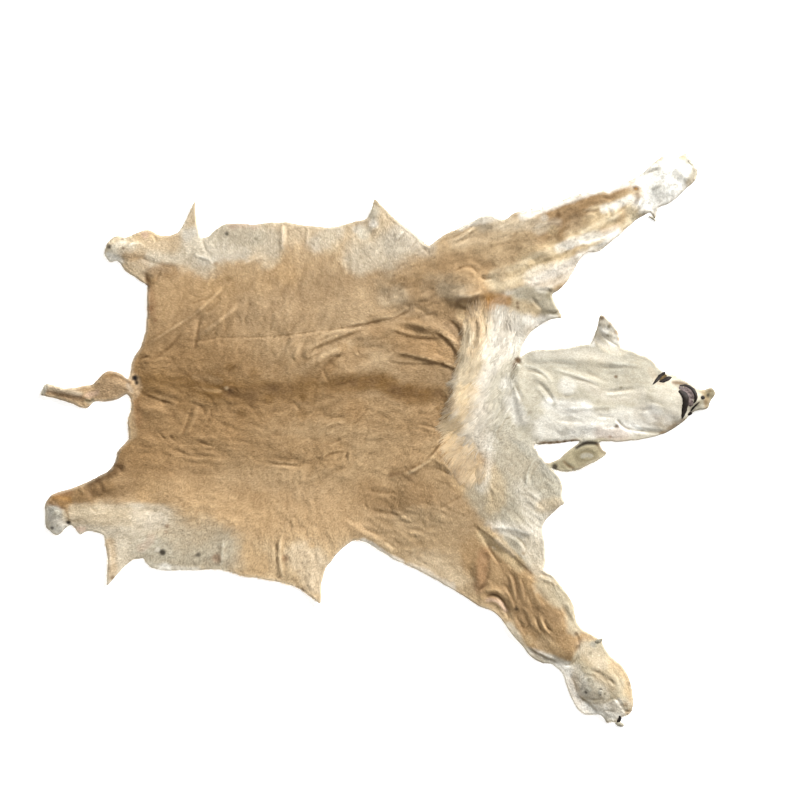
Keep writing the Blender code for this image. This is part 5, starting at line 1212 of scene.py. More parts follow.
    ("tan", 0.7, -70, 53.4, -65, 55.4, -57, 54.6, 2, 2.6),
    ("straw", 0.6, -70, 48.4, -66.8, 47, -64.6, 45.6, 0.9, 1.8),
    ("milk", 0.95, -76, 53, -72.6, 53.4, -70.4, 53, 3, 2),
    # painted light on the paw's edge, which slopes from the lamp
    ("white", 0.6, -76.6, 51.4, -74.4, 50.2, -71.6, 49.6, 0.8, 1.4),
    ("camel", 0.7, -62.4, 44.6, -60.8, 46.6, -57, 46.4, 1, 2),
    ("sand", 0.5, -75.6, 52, -73.4, 54.6, -71, 56, 0.4, 1.2),
    ("ochre", 0.2, -70, 51.8, -67, 50.4, -64, 48.6, 0.7, 1.6),
    ("sand", 0.6, -68, 55.6, -64, 57, -61, 56.6, 0.8, 1.6),
    ("orange", 0.6, -69, 50.6, -67, 50.4, -65, 51, 0.5, 1.4),
    # painted shade along a crease
    ("umber", 0.5, -64.4, 46, -63.4, 44.4, -63.2, 42.8, 0.2, 1),
    # tail
    ("biscuit", 0.95, -92, 14, -80, 12.4, -69, 15, 3.4, 1.4),
    ("brown", 0.5, -72.6, 17.8, -70, 17.4, -68, 16.4, 0.6, 1.4),
    ("cream", 0.5, -90.4, 14.4, -86, 13.4, -82, 12.8, 0.4, 1.2),
    ("brown", 0.6, -94, 12.8, -93, 14.6, -92.4, 16.4, 0.7, 1.2),
    ("hazel", 0.6, -82.4, 15.2, -80.6, 14.6, -78.4, 15, 0.4, 1.2),
    ("hazel", 0.6, -80.4, 9.2, -79, 8.8, -77, 9.6, 0.4, 1.2),
    # painted shade along a crease
    ("umber", 0.65, -91, 13.6, -86, 12.4, -80.8, 11.6, 0.3, 1),
    # painted shade along a crease
    ("umber", 0.5, -73, 17.8, -70.4, 17.3, -68.2, 15.8, 0.1, 0.7),
    ("olive", 0.8, -80, 11, -79.2, 10.7, -78.2, 11.2, 0.3, 0.6),
    ("pink", 0.5, -79.6, 12.6, -78.4, 12.8, -77.4, 13.2, 0.3, 0.9),
    ("chalk", 0.3, -68.6, 15.2, -68.1, 14.6, -67.6, 13.6, 0.2, 0.8),
    ("grey", 0.8, -92.4, 12.6, -91.8, 14, -91.3, 15.4, 0.5, 0.9),
)
print(len(STROKES), "strokes")

# %% The spots
# dye, strength, x, y, radius in cm, soft edge in cm
SPOTS = (
    ("umber", 0.7, 70.9, 69.3, 0.45, 0.7), ("ochre", 0.9, 70.8, 69.1, 0.2, 0.4),
    ("black", 1, -66.8, 17.2, 0.5, 0.6), ("black", 0.9, -66.3, 15.9, 0.3, 0.6),
    ("umber", 0.8, -28.4, 28.6, 0.1, 0.5), ("umber", 0.85, -40.4, 13.5, 0.35, 0.9),
    ("tan", 0.8, -41.6, 14.4, 0.2, 0.6), ("stripe", 0.7, -40.6, 20, 0.5, 1.6),
    ("umber", 0.6, -29, 14.4, 0.5, 1.6), ("umber", 0.5, -34.6, 11.6, 0.6, 2),
    ("umber", 0.5, -6.6, 15.8, 0.4, 1.4), ("umber", 0.5, 8, 12.9, 0.5, 1.6),
    ("umber", 0.5, 12.6, 12.4, 0.4, 1.4), ("stripe", 0.5, -37.5, 7.4, 0.6, 1.4),
    ("stripe", 0.7, -20.6, 11.8, 0.5, 1.2), ("stripe", 0.4, -18, 10.6, 0.4, 1),
    ("stripe", 0.6, 16.4, 8.8, 0.2, 0.7), ("stripe", 0.6, 17, 6.8, 0.2, 0.6),
    ("stripe", 0.6, 8, 13.6, 0.8, 1.8), ("stripe", 0.6, 13, 12.8, 0.9, 1.8),
    ("stripe", 0.5, -4, 15.8, 0.9, 1.6), ("umber", 0.5, -28.5, 8.6, 0.3, 0.6),
    ("umber", 0.8, -57, -4, 0.1, 0.5), ("black", 0.75, -41.6, 56.8, 0.3, 0.6),
    ("olive", 0.5, -33.4, 55.4, 0.1, 0.6), ("brown", 0.6, -44.6, 48.6, 0.2, 0.7),
    ("umber", 0.6, -35, 37.4, 0.1, 0.4), ("black", 0.9, -59.2, -30.7, 0.55, 0.6),
    ("chalk", 0.6, -60.6, -30, 0.2, 0.9), ("black", 0.75, -49.4, -31.4, 0.35, 0.6),
    ("russet", 0.5, -58, -23.5, 0.2, 0.7), ("russet", 0.4, -58.2, -25, 0.1, 0.6),
    ("olive", 0.4, -61, -19, 0.2, 0.7), ("umber", 0.75, -72.9, -37.7, 0.3, 0.6),
    ("black", 0.95, -85, -22.4, 0.35, 0.5), ("black", 0.8, -89.4, -24, 0.25, 0.5),
    ("olive", 0.7, -88, -23.3, 0.1, 0.5), ("russet", 0.5, -25.5, -32.4, 0.4, 1),
    ("orange", 0.5, -18.2, -28.6, 0.4, 1.2), ("umber", 0.6, -20.7, -41, 0.2, 0.7),
    ("umber", 0.5, -27, -37.4, 0.1, 0.7), ("russet", 0.5, -44.4, -32.4, 0.6, 1.4),
    ("black", 0.8, -73.8, 53.2, 0.3, 0.5), ("umber", 0.7, -69.9, 52.8, 0.15, 0.5),
    ("umber", 0.6, -70, 55.4, 0.15, 0.5), ("pink", 0.6, -64, 56.6, 0.6, 1),
    ("umber", 0.7, 38.3, 37.8, 0.2, 0.6), ("umber", 0.7, 38.5, 36.6, 0.2, 0.6),
    ("umber", 0.75, 49.5, 62, 0.3, 0.8), ("umber", 0.85, 65.3, 17.6, 0.25, 0.5),
    ("olive", 0.75, 66.6, 14.6, 0.15, 0.5), ("brown", 0.8, 76.3, 6.5, 0.25, 0.5),
    ("russet", 0.6, 63.8, 1.1, 0.15, 0.5), ("umber", 0.8, 65.6, 3.9, 0.3, 0.6),
    ("brown", 0.6, 78.4, 1.8, 0.5, 0.9), ("umber", 0.8, 61.4, 33.6, 0.35, 0.6),
    ("olive", 0.6, 60.8, 31.8, 0.2, 0.5), ("stripe", 0.7, -30, 11.4, 0.8, 1.2),
    ("sand", 0.6, 48.1, 57.6, 0.8, 1.4), ("white", 0.5, -1.2, 59.6, 0.5, 1.4),
    ("hazel", 0.8, 21.7, -7, 0.8, 1.2), ("hazel", 0.7, 21, 12.6, 0.7, 1.2),
    ("brown", 0.7, 16.8, -2.6, 0.8, 1.6), ("white", 0.4, 52, 15, 1.2, 2.2),
    ("stripe", 0.55, -34.1, 18.3, 0.8, 1.6), ("brown", 0.45, 34.1, 45.5, 1, 1.8),
    # the white spot is painted light over the shade of a fold by the muzzle
    ("tan", 0.65, 27.4, 15, 0.9, 1.5), ("white", 0.5, 75.4, 7.2, 1, 2.6),
    # both white spots are painted light: over a fold's shade by the muzzle, and on the ear where it turns from
    # the lamp
    ("white", 0.4, 79.4, 5.6, 0.6, 1.8), ("white", 0.5, 62.8, 30.4, 0.5, 1),
    ("white", 0.35, 35.8, 16.6, 0.9, 1.8), ("stripe", 0.45, -20.9, 7.3, 0.8, 1.8),
    ("camel", 0.6, 15.1, 25.2, 0.8, 1.6), ("sand", 0.6, 41.4, -54.8, 0.6, 1.4),
    ("chalk", 0.6, 45.6, 61.3, 0.4, 1.2), ("stripe", 0.45, -53.4, 10, 1, 2.2),
    # the grey spot is painted shade under the head's edge
    ("brown", 0.6, -33, -16.4, 1.2, 2.2), ("grey", 0.4, 40.7, -1, 0.8, 1.4),
    ("brown", 0.45, 0.6, -16.4, 2, 3), ("stripe", 0.35, -49, 15.2, 1.6, 2.4),
    ("brown", 0.35, 25.3, -5.4, 1.2, 2), ("ivory", 0.4, -13.2, 55.1, 2, 3),
    ("straw", 0.5, 5.8, 39.8, 1.2, 2.2), ("white", 0.45, -58.6, -35.4, 1, 1.4),
    ("grey", 0.5, 50.1, -10.3, 0.7, 1.2), ("brown", 0.6, -25.6, -15.8, 1.2, 2.4),
    ("brown", 0.5, -37.4, -13.6, 1.2, 2.4), ("straw", 0.6, -65.5, 52.4, 0.9, 1.6),
    # the grey spot is painted shade on the far cheek, which faces the lamp
    ("brown", 0.25, -37.9, -34.2, 2, 3), ("grey", 0.5, 66.6, 22.1, 2, 3),
    ("sand", 0.3, 61, 59.3, 1.6, 2.4), ("olive", 0.6, 90.5, 12.8, 0.5, 0.8),
    ("umber", 0.5, 91, 13.8, 0.25, 0.6), ("umber", 0.5, 90, 10.5, 0.3, 0.6),
    ("olive", 0.6, 92.2, 12, 0.4, 0.7), ("umber", 0.75, -72.1, -6.8, 0.35, 0.8),
    ("umber", 0.5, -74, -8.7, 0.25, 0.8), ("umber", 0.7, -77, -10.8, 0.35, 0.9),
    ("camel", 0.6, -9.6, 25.7, 0.6, 1.4), ("stripe", 0.35, 11.6, 13.6, 2.4, 3),
    ("brown", 0.7, 75.4, 22.2, 0.15, 0.5), ("brown", 0.7, 76.4, 21, 0.15, 0.5),
    ("brown", 0.7, 77.4, 19.9, 0.15, 0.5), ("olive", 0.7, 92.6, 13.8, 0.5, 0.7),
    ("olive", 0.7, 91.6, 10, 0.4, 0.7), ("brown", 0.7, 65.6, 29.8, 0.4, 0.7),
    ("brown", 0.7, 66.4, 28, 0.4, 0.7), ("brown", 0.6, 64, 32.2, 0.3, 0.6),
    ("olive", 0.6, 63.1, 28.9, 0.15, 0.4), ("olive", 0.6, 65, 28.2, 0.15, 0.4),
    # the umber spots from here to (45.6, -0.8) are painted shadow under the head's lower edge
    ("umber", 0.75, 47.4, -0.7, 0.3, 0.5), ("umber", 0.75, 49.4, -0.5, 0.3, 0.5),
    ("umber", 0.75, 51.4, -0.4, 0.3, 0.5), ("umber", 0.75, 53.4, -0.2, 0.3, 0.5),
    ("umber", 0.7, 45.6, -0.8, 0.2, 0.5), ("olive", 0.6, 47.6, 41.4, 0.3, 0.6),
    ("olive", 0.6, 49, 38.6, 0.3, 0.6), ("brown", 0.6, 50.4, 35.8, 0.4, 0.7),
    ("umber", 0.6, -63, 42.6, 0.3, 0.9), ("russet", 0.5, -62.4, 36.2, 0.3, 0.9),
    ("russet", 0.5, -61.2, 33, 0.2, 0.9), ("stripe", 0.5, -41, 44.5, 0.3, 0.8),
    ("olive", 0.8, 63.4, 31.2, 0.3, 0.5), ("umber", 0.9, 38.4, 22, 0.5, 0.8),
    ("olive", 0.5, 37.6, 19.4, 0.6, 1.2), ("olive", 0.5, 48.4, 9.9, 0.2, 0.9),
    ("grey", 0.7, 32.4, 23, 0.4, 0.9), ("olive", 0.35, 33.6, 24, 0.3, 1),
    ("black", 0.9, 48.7, -7.2, 0.5, 0.5), ("black", 0.6, 45.3, -4.8, 0.2, 0.5),
    ("umber", 0.7, 46.6, -6.2, 0.2, 0.5), ("olive", 0.7, 62.8, -3.6, 0.3, 0.6),
    ("black", 1, 89.2, 11.8, 0.4, 0.4), ("black", 0.8, 90.7, 12.5, 0.25, 0.5),
    ("brown", 0.5, 40, -31, 0.2, 0.6), ("black", 0.75, 38.1, -46.2, 0.25, 0.6),
    ("umber", 0.7, 54.4, -53, 0.2, 0.7), ("umber", 0.7, 54.8, -56.6, 0.3, 0.7),
    ("black", 0.85, 57, -69.1, 0.2, 0.5), ("black", 0.6, 56, -68, 0.1, 0.5),
    ("black", 0.85, 61, -68.2, 0.15, 0.5), ("black", 0.85, 60.9, -69.6, 0.2, 0.4),
    ("olive", 0.8, 62.3, -69.3, 0.15, 0.5), ("olive", 0.5, 57.8, -65.6, 0.3, 0.8),
    ("olive", 0.5, 59, -66.3, 0.1, 0.6), ("grey", 0.7, 59.2, -56, 0.5, 0.8),
    ("olive", 0.5, 58.4, -58.4, 0.2, 0.7), ("umber", 0.6, 69.2, -67, 0.2, 0.6),
    ("brown", 0.5, 68, -72.6, 0.3, 0.8),
)
print(len(SPOTS), "spots")

# %% [markdown]
# ## Lay the colours on
#
# The strokes go over each other in the order of their table, then the spots. Over them lies what no
# airbrush gives: mottling, streaks along the hair, a net of thin lines of painted shade with painted
# highlight edges, and the painted shade and painted highlight of the wrinkles. A painted picture
# would do too, but this can be changed stroke by stroke.

# %% From the strokes to the chart
GROUND_DYE = "tan"
# the most that a stroke's edge is shaken in cm, and in shares of its soft edge; a spot's in cm
SHAKE_CM, SHAKE_SHARE, SPOT_SHAKE_CM = 1.4, 0.3, 0.15
STROKE_STEP_CM = 1.2
# painted shade in the troughs of the wrinkles and painted highlight on their crests: where the shade starts and
# is full in mm, how much it takes off, and the height in mm and share of the highlight
SHADE_FROM_MM, SHADE_TO_MM, SHADE = 0.2, 4.0, 0.24
SHINE_TO_MM, SHINE = 6.0, 0.13
# how strongly the crumpling counts in that painted shade and highlight
CRUMPLE_IN_PAINTED_LIGHT = 2.4
# how strongly the wrinkles' lines of painted shade and painted highlight show, and the most they reach
PAINTED_LINE_STRENGTH, DARKEST_LINE, PALEST_LINE = 0.13, -4, 3
# the lamps are bright, as in the photograph, so the dyes are laid on thinner than they look
DYE_SHARE = 0.8
LEAST_LIGHT, MOST_LIGHT = 0.004, 0.95
# the edge is painted paler: partly the pale cut edge of the hide, partly painted light where its steep slope
# turns from the lamps
RIM_PALE_CM, RIM_PALE = 0.9, 0.4
# painted shade and darker mottling keep red longest, as shade does in real fur
WARM_SHADE = np.array([0.85, 1.0, 1.2])


def linear(dye):
    """A colour given as it shows on a screen, as the linear values that a shader wants."""
    share = np.array(dye) / 255
    return np.where(share <= 0.04045, share / 12.92, ((share + 0.055) / 1.055) ** 2.4)


# the wrinkles again, as thin lines of painted shade and painted highlight on the coat
PAINTED_WRINKLE_LINES = (
    (CREASES, lambda left: trough(left, 2.0, 0.4), 0.55, 1.0),
    (RIDGES, lambda left: ridge(left, 2.0, 0.4), 0.55, 1.0),
    (LAPS, lambda left: 0.6 * bell(left, 1.4) - bell(left, -0.3), 0.75, 1.1),
)
# a net of fine lines of painted shade and highlight over the rest: length of a wave in cm, half width of a
# line, strength
PAINTED_NET = ((3.4, 0.08, 0.12), (1.8, 0.12, 0.08))
# how far the net wanders and over what length, both in cm, and how far it is drawn out
NET_WANDERS, NET_WANDER_CM, NET_DRAWN = 0.6, 3.0, 2.6
# streaks along the hair: how far they are drawn out, length of a wave in cm, strength
STREAKS = ((7.0, 0.9, 1.0), (6.0, 2.4, 1.1))
# mottling everywhere: length of a wave in cm, strength
MOTTLES = ((7.0, 0.06), (2.2, 0.07), (1.0, 0.05))


def streaked(way, places):
    """Pale and dark streaks that run along the combed hair."""
    total = 0
    for k, (drawn, wave, strength) in enumerate(STREAKS):
        total = total + strength * waves(drawn_out(places, way.toward_deg, drawn), wave, 58 + k)
    return way.streak * total


def painted_net_shading(way, places):
    """Thin lines of painted shade with a painted highlight edge where the waves cross zero, drawn out along the
    pull: the look of fine wrinkles that the sheet has no relief for.
    """
    bent = places + NET_WANDERS * wander(places, NET_WANDER_CM, 91)
    pressed = drawn_out(bent, way.toward_deg, NET_DRAWN)
    total = 0
    for k, (wave, half, strength) in enumerate(PAINTED_NET):
        height = waves(pressed, wave, 93 + k)
        line = 0.6 * bell((height - 2.2 * half) / half) - bell(height / half)
        total += strength * np.clip(0.5 + 1.2 * waves(places, 5.0, 96 + k), 0, 1.4) * line
    return total


def dyed(places, edge):
    """The colour of the coat at each place, given how far each is from the edge, with painted shade and painted
    highlight from the wrinkles.
    """
    wide = wander(places, 6.0, 51)
    tight = wander(places, 1.5, 53)
    colour = np.tile(linear(DYES[GROUND_DYE]), (len(places), 1))
    for dye, strength, *three, half, soft in STROKES:
        shake = min(SHAKE_CM, SHAKE_SHARE * soft)
        line = curve_through(three, max(STROKE_STEP_CM, half + 0.4 * soft))
        near = near_line(places, line, half + soft + 1.5 * shake)
        at = places[near] + shake * (wide[near] + 0.5 * tight[near])
        cover = strength * smooth(1 - (np.abs(beside(at, line)[0]) - half) / soft)
        colour[near] += cover[:, None] * (linear(DYES[dye]) - colour[near])
    colour += RIM_PALE * smooth(1 - edge / RIM_PALE_CM)[:, None] * (linear(DYES["milk"]) - colour)
    for dye, strength, x, y, radius, soft in SPOTS:
        centre = np.array([[x, y]])
        near = near_line(places, centre, radius + soft + 0.2)
        away = np.linalg.norm(places[near] + SPOT_SHAKE_CM * tight[near] - centre, axis=1)
        cover = strength * smooth(1 - (away - radius) / soft)
        colour[near] += cover[:, None] * (linear(DYES[dye]) - colour[near])
    mottle_and_painted_lines = sum(strength * waves(places, wave, 55 + k) for k, (wave, strength) in enumerate(MOTTLES))
    # painted shade where the hide lies low and painted highlight where it lies high, from the wrinkles and the
    # crumpling
    raised = wrinkle_relief(places) + CRUMPLE_IN_PAINTED_LIGHT * by_way(places, crumpled)
    shade = SHADE * smooth((-raised - SHADE_FROM_MM) / (SHADE_TO_MM - SHADE_FROM_MM))
    shine = SHINE * smooth(raised / SHINE_TO_MM)
    # lines of painted shade and highlight along every wrinkle and in a net over the rest; the streaks are the
    # coat's own colour
    painted_line_strength = PAINTED_LINE_STRENGTH * (1 + 0.6 * waves(places, 1.3, 60))
    mottle_and_painted_lines += painted_line_strength * np.clip(wrinkle_relief(places, PAINTED_WRINKLE_LINES), DARKEST_LINE, PALEST_LINE)
    mottle_and_painted_lines += by_way(places, streaked) + by_way(places, painted_net_shading)
    lightness_with_painted_light = (1 + mottle_and_painted_lines) * (1 - shade) * (1 + shine)
    colour = np.maximum(colour * lightness_with_painted_light[:, None] ** WARM_SHADE * DYE_SHARE, LEAST_LIGHT)
    return colour * np.minimum(1, MOST_LIGHT / colour.max(axis=1))[:, None]


chart_dye = dyed(chart_places, chart_edge)
grain_colour = read_chart(chart_dye, grain)
print("dyed", len(chart_places), "places with", len(STROKES), "strokes and", len(SPOTS), "spots")

# %% [markdown]
# ## The materials of the hide
#
# Under the hair the skin is a little darker than the coat, because light that gets between the
# hairs doesn't get out again. The flesh side is pale dressed leather with a fine nap. Both are
# built from noise in the object's own coordinates, so they stay the same at any size of picture.

# %% Skin and flesh side
# noise rarely leaves this span, so colours are spread over it
NOISE_SPAN = (0.3, 0.7)
SPECK_RANGE = {"From Min": 0.3, "From Max": 0.7, "To Min": 0.93, "To Max": 1.07}
# the nap's noise is this many times as fine as the mottling
NAP_FINER = 14


def fill(node, values):
    """Sets a node's inputs by their names."""
    for name, value in values.items():
        node.inputs[name].default_value = value


def node_maker(material):
    """Starts a material's nodes and gives a short way to add one and to join two."""
    material.use_nodes = True
    tree = material.node_tree

    def add(kind, values=None, **settings):
        node = tree.nodes.new(kind)
        for key, value in settings.items():
            setattr(node, key, value)
        fill(node, values or {})
        return node

    def join(giver, output, taker, value):
        tree.links.new(giver.outputs[output], taker.inputs[value])

    return tree.nodes["Principled BSDF"], add, join


def mottled_leather(name, dark, light, scale, rough, bump_mm):
    """Leather whose colour and nap come from two sizes of noise."""
    material = bpy.data.materials.new(name)
    shader, add, join = node_maker(material)
    where = add("ShaderNodeTexCoord")
    broad = add("ShaderNodeTexNoise", {"Scale": scale, "Detail": 6})
    fine = add("ShaderNodeTexNoise", {"Scale": scale * NAP_FINER, "Detail": 4})
    ramp = add("ShaderNodeValToRGB")
    for stop, position, colour in zip(ramp.color_ramp.elements, NOISE_SPAN, (dark, light)):
        stop.position = position
        stop.color = (*linear(colour), 1)
    nap = add("ShaderNodeBump", {"Strength": 0.6, "Distance": bump_mm * MM})
    roughness = add("ShaderNodeMapRange", {"To Min": rough - 0.08, "To Max": rough + 0.08})
    join(where, "Object", broad, "Vector")
    join(where, "Object", fine, "Vector")
    join(broad, "Fac", ramp, "Fac")
    join(ramp, "Color", shader, "Base Color")
    join(fine, "Fac", nap, "Height")
    join(fine, "Fac", roughness, "Value")
    join(roughness, "Result", shader, "Roughness")
    join(nap, "Normal", shader, "Normal")
    fill(shader, {"Specular IOR Level": 0.2})
    return material


def dyed_material(name, root_shade, tip_shade, rough, speck_scale):
    """Takes the dyed colour and shades it from root to tip and from strand to strand."""
    material = bpy.data.materials.new(name)
    shader, add, join = node_maker(material)
    dye = add("ShaderNodeAttribute", attribute_name="dye")
    along = add("ShaderNodeAttribute", attribute_name="along")
    shade = add("ShaderNodeMapRange", {"To Min": root_shade, "To Max": tip_shade})
    where = add("ShaderNodeTexCoord")
    speck = add("ShaderNodeTexNoise", {"Scale": speck_scale, "Detail": 3})
    speck_range = add("ShaderNodeMapRange", SPECK_RANGE)
    both = add("ShaderNodeMath", operation="MULTIPLY")
    tint = add("ShaderNodeVectorMath", operation="SCALE")
    roughness = add("ShaderNodeMapRange", {"To Min": rough - 0.1, "To Max": rough + 0.1})
    join(along, "Fac", shade, "Value")
    join(where, "Object", speck, "Vector")
    join(speck, "Fac", speck_range, "Value")
    join(shade, "Result", both, 0)
    join(speck_range, "Result", both, 1)
    join(dye, "Color", tint, 0)
    join(both, "Value", tint, "Scale")
    join(tint, "Vector", shader, "Base Color")
    join(speck, "Fac", roughness, "Value")
    join(roughness, "Result", shader, "Roughness")
    fill(shader, {"Specular IOR Level": 0.14})
    return material


skin_under_hair = dyed_material("skin under the hair", 0.8, 0.8, 0.75, 120)
flesh_side = mottled_leather("flesh side", (196, 178, 146), (222, 208, 180), 9, 0.85, 0.4)
short_coat = dyed_material("short coat", 0.78, 1.06, 0.65, 160)
print("materials", [m.name for m in (skin_under_hair, flesh_side, short_coat)])

# %% Put the materials on the hide
MAP_MARGIN = 0.01


def paint_points(piece, name, values):
    """Stores a colour or a number for each point of a piece."""
    kind = "FLOAT_COLOR" if np.ndim(values) == 2 else "FLOAT"
    layer = piece.data.attributes.new(name, kind, "POINT")
    if kind == "FLOAT_COLOR":
        values = np.column_stack([values, np.ones(len(values))])
        layer.data.foreach_set("color", values.astype(np.float32).ravel())
    else:
        layer.data.foreach_set("value", values.astype(np.float32))


def plan_map(piece, share=1.0, shifted=None):
    """Maps a piece as seen from above, so that its colours can be kept as a picture of it."""
    layer = piece.data.uv_layers.new(name="OFBake")
    at = np.empty(len(piece.data.vertices) * 3, np.float32)
    piece.data.vertices.foreach_get("co", at)
    at = at.reshape(-1, 3)[:, :2]
    corner = np.empty(len(piece.data.loops), np.int32)
    piece.data.loops.foreach_get("vertex_index", corner)
    low, high = at.min(axis=0), at.max(axis=0)
    flat = MAP_MARGIN + (1 - 2 * MAP_MARGIN) * (at - low) / (high - low).max()
    flat = flat[corner] * share
    if shifted is not None:
        flat[shifted] += (share, 0)
    layer.data.foreach_set("uv", flat.astype(np.float32).ravel())


paint_points(hide, "dye", np.concatenate([grain_colour, np.ones((len(flesh), 3))]))
hide.data.materials.append(skin_under_hair)
hide.data.materials.append(flesh_side)
flesh_slot = (np.arange(len(hide_faces)) >= len(grain_faces)).astype(np.int32)
hide.data.polygons.foreach_set("material_index", flesh_slot)
plan_map(hide, 0.5, np.repeat(flesh_slot > 0, 3))
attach(hide, "root")
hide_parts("hide")
print("the hide wears", [m.name for m in hide.data.materials])

# %% [markdown]
# ## Hair by hair
#
# Blender's particle hair would be quick, but it can't be exported and it can't be measured. So
# Each hair is a narrow leaf of two triangles, bent in its middle, and all hairs of a part of the
# body are one mesh. A hair grows from a random place on the hide and lies the way that part is
# combed. Neighbours share part of their lean, which is what makes fur fall into small locks.

# %% Roots and leaves
SINK_MM = 0.5
# where a leaf is widest, as a share of its length, and how high its middle is, as a share of its tip
LEAF_BEND, LEAF_ARCH = 0.45, 0.75
# x, y and radius in cm of the places where no hair grows
BARE = (
    (84.2, 13, 1.6), (84.4, 10.6, 1.2), (84, 8.2, 1.1), (86.4, 12.9, 1.6), (85.8, 10.4, 1.2),
    (85.7, 7.5, 0.8), (89.2, 11.8, 0.6), (77.6, 17.2, 1.2), (79.2, 17, 1.1),
    (-87.6, -19.5, 1.2), (57.4, -68.2, 1.2), (60.8, -68.9, 1.1),
)

maker = np.random.default_rng(7)


def grow_roots(points, faces, per_cm2, wanted):
    """Random places on the faces, as many as wanted: the face and the corner shares of each."""
    area = np.linalg.norm(face_spans(points, faces), axis=1) / 2 / CM**2
    face = np.repeat(np.arange(len(faces)), maker.poisson(area * per_cm2 * wanted))
    return face, maker.dirichlet((1, 1, 1), len(face))


def mixed(values, faces, face, share):
    """Values of the corners, mixed at each root."""
    return sum(values[faces[face, k]] * share[:, k].reshape(-1, *[1] * (values.ndim - 1)) for k in range(3))


def point_normals(points, faces):
    """The way that the hide faces at each point."""
    sums = []
    for part in face_spans(points, faces).T:
        sums.append(sum(np.bincount(faces[:, k], part, len(points)) for k in range(3)))
    return unit(np.column_stack(sums))


def is_bare(places):
    found = np.zeros(len(places), bool)
    for x, y, radius in BARE:
        found |= np.linalg.norm(places - (x, y), axis=1) < radius
    return found


def leaf_hairs(roots, ups, angle, length_mm, stands, width_mm, roll):
    """Points of bent leaves: a root, two sides and a tip for each."""
    way = np.column_stack([np.cos(angle), np.sin(angle), np.zeros(len(angle))])
    way = unit(way - (way * ups).sum(axis=1)[:, None] * ups)
    side = np.cross(way, ups)
    side = side * np.cos(roll)[:, None] + ups * np.sin(roll)[:, None]
    long = (length_mm * MM)[:, None]
    rise = np.sin(stands)[:, None]
    middle = roots + way * long * LEAF_BEND
    tip = roots + way * long * np.cos(stands)[:, None]
    for points, share in ((middle, LEAF_ARCH), (tip, 1.0)):
        points[:, 2] = read_chart(chart_height, points[:, :2] / CM) + (long * rise)[:, 0] * share
    half = side * (width_mm * MM / 2)[:, None]
    points = np.stack([roots - ups * SINK_MM * MM, middle - half, middle + half, tip], axis=1)
    return points.reshape(-1, 3)


upper_normals = point_normals(upper_points, grain_faces)
print(len(BARE), "bare places; the hide faces up by", upper_normals[:, 2].mean().round(3))

# %% Grow the short coat
HAIRS_PER_CM2 = 24
# the share of a hair's length that shows past its neighbours
SHOWN = 0.75
HAIR_WIDTH_MM = 1.5
LOCK_CM = 1.1
FLATTER = 0.7
ROLLS = 0.16
# spread of the way and slope of single hairs, and how far locks lean and lift together
STRAYS, LIFTS, LOCK_LEANS, LOCK_LIFTS = 0.14, 0.02, 0.3, 0.5
HAIR_LENGTHS, HAIR_WIDTHS = (0.75, 1.15), (0.7, 1.2)
# the share of its length that hair has at the very edge, and the rest that it gains further in
RIM_LENGTH, GROWN_LENGTH, GROWN_AT_CM = 0.55, 0.45, 1.5
MOST_UNEVEN = 0.07
# how far the strands of a piece differ in lightness, where that is less
UNEVEN = {"coat_head": 0.02, "coat_neck": 0.04, "coat_far_flank": 0.055, "coat_near_flank": 0.055}
# the share that is left of the locks and of the lift where hair lies close
SLEEK = {"coat_head": 0.35}
# the two triangles of a leaf, and how far along it each of its points is
LEAF = np.array([(0, 1, 2), (2, 1, 3)])
LEAF_ALONG = np.array([0.0, 0.5, 0.5, 1.0])

for number, name in enumerate(PIECES):
    wanted = (grain_piece[grain_faces[:, 0]] == number) & ~is_bare(grain[grain_faces[:, 0]])
    face, share = grow_roots(upper_points, grain_faces, HAIRS_PER_CM2, wanted)
    roots = mixed(upper_points, grain_faces, face, share)
    ups = unit(mixed(upper_normals, grain_faces, face, share))
    edge = mixed(grain_edge, grain_faces, face, share)
    places = roots[:, :2] / CM
    angle, length_mm, stands, _ = combed(places)
    count = len(roots)
    sleek = SLEEK.get(name, 1.0)
    angle += sleek * (LOCK_LEANS * waves(places, LOCK_CM, 61) + maker.normal(0, STRAYS, count))
    stands = FLATTER * stands * (1 + LOCK_LIFTS * waves(places, LOCK_CM, 62))
    stands = sleek * (stands + maker.normal(0, LIFTS, count))
    grown = RIM_LENGTH + GROWN_LENGTH * smooth(edge / GROWN_AT_CM)
    length_mm = SHOWN * length_mm * maker.uniform(*HAIR_LENGTHS, count) * grown
    width_mm = HAIR_WIDTH_MM * maker.uniform(*HAIR_WIDTHS, count)
    points = leaf_hairs(roots, ups, angle, length_mm, stands, width_mm, maker.normal(0, ROLLS * sleek, count))
    faces = (LEAF[None] + 4 * np.arange(count)[:, None, None]).reshape(-1, 3)
    piece = new_piece(name, points, faces, [short_coat])
    leaf = points.reshape(-1, 4, 3)[:, :, :2] / CM
    seen_at = (leaf[:, 0], leaf[:, 1:3].mean(axis=1), leaf[:, 3])
    root_dye, middle_dye, tip_dye = (read_chart(chart_dye, at) for at in seen_at)
    uneven = UNEVEN.get(name, MOST_UNEVEN)
    strand = 1 + uneven * (waves(places, LOCK_CM, 63) + maker.normal(0, 1, count))
    dyes = np.stack([root_dye, middle_dye, middle_dye, tip_dye], axis=1) * strand[:, None, None]
    paint_points(piece, "dye", dyes.reshape(-1, 3))
    paint_points(piece, "along", np.tile(LEAF_ALONG, count))
    plan_map(piece)
    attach(piece, "root")
    print(name, count, "hairs")

# %% [markdown]
# ## Long hair on the neck
#
# Where a male has his mane this skin has pale hair two to five centimetres long. It hangs together
# in locks: hairs that start near each other lean to the same tip. Each hair is a tapered band in
# three steps that follows the skin below it and stands off it a little in its middle. The tips lie
# over the brown of the shoulders, so the border between the two colours is ragged.

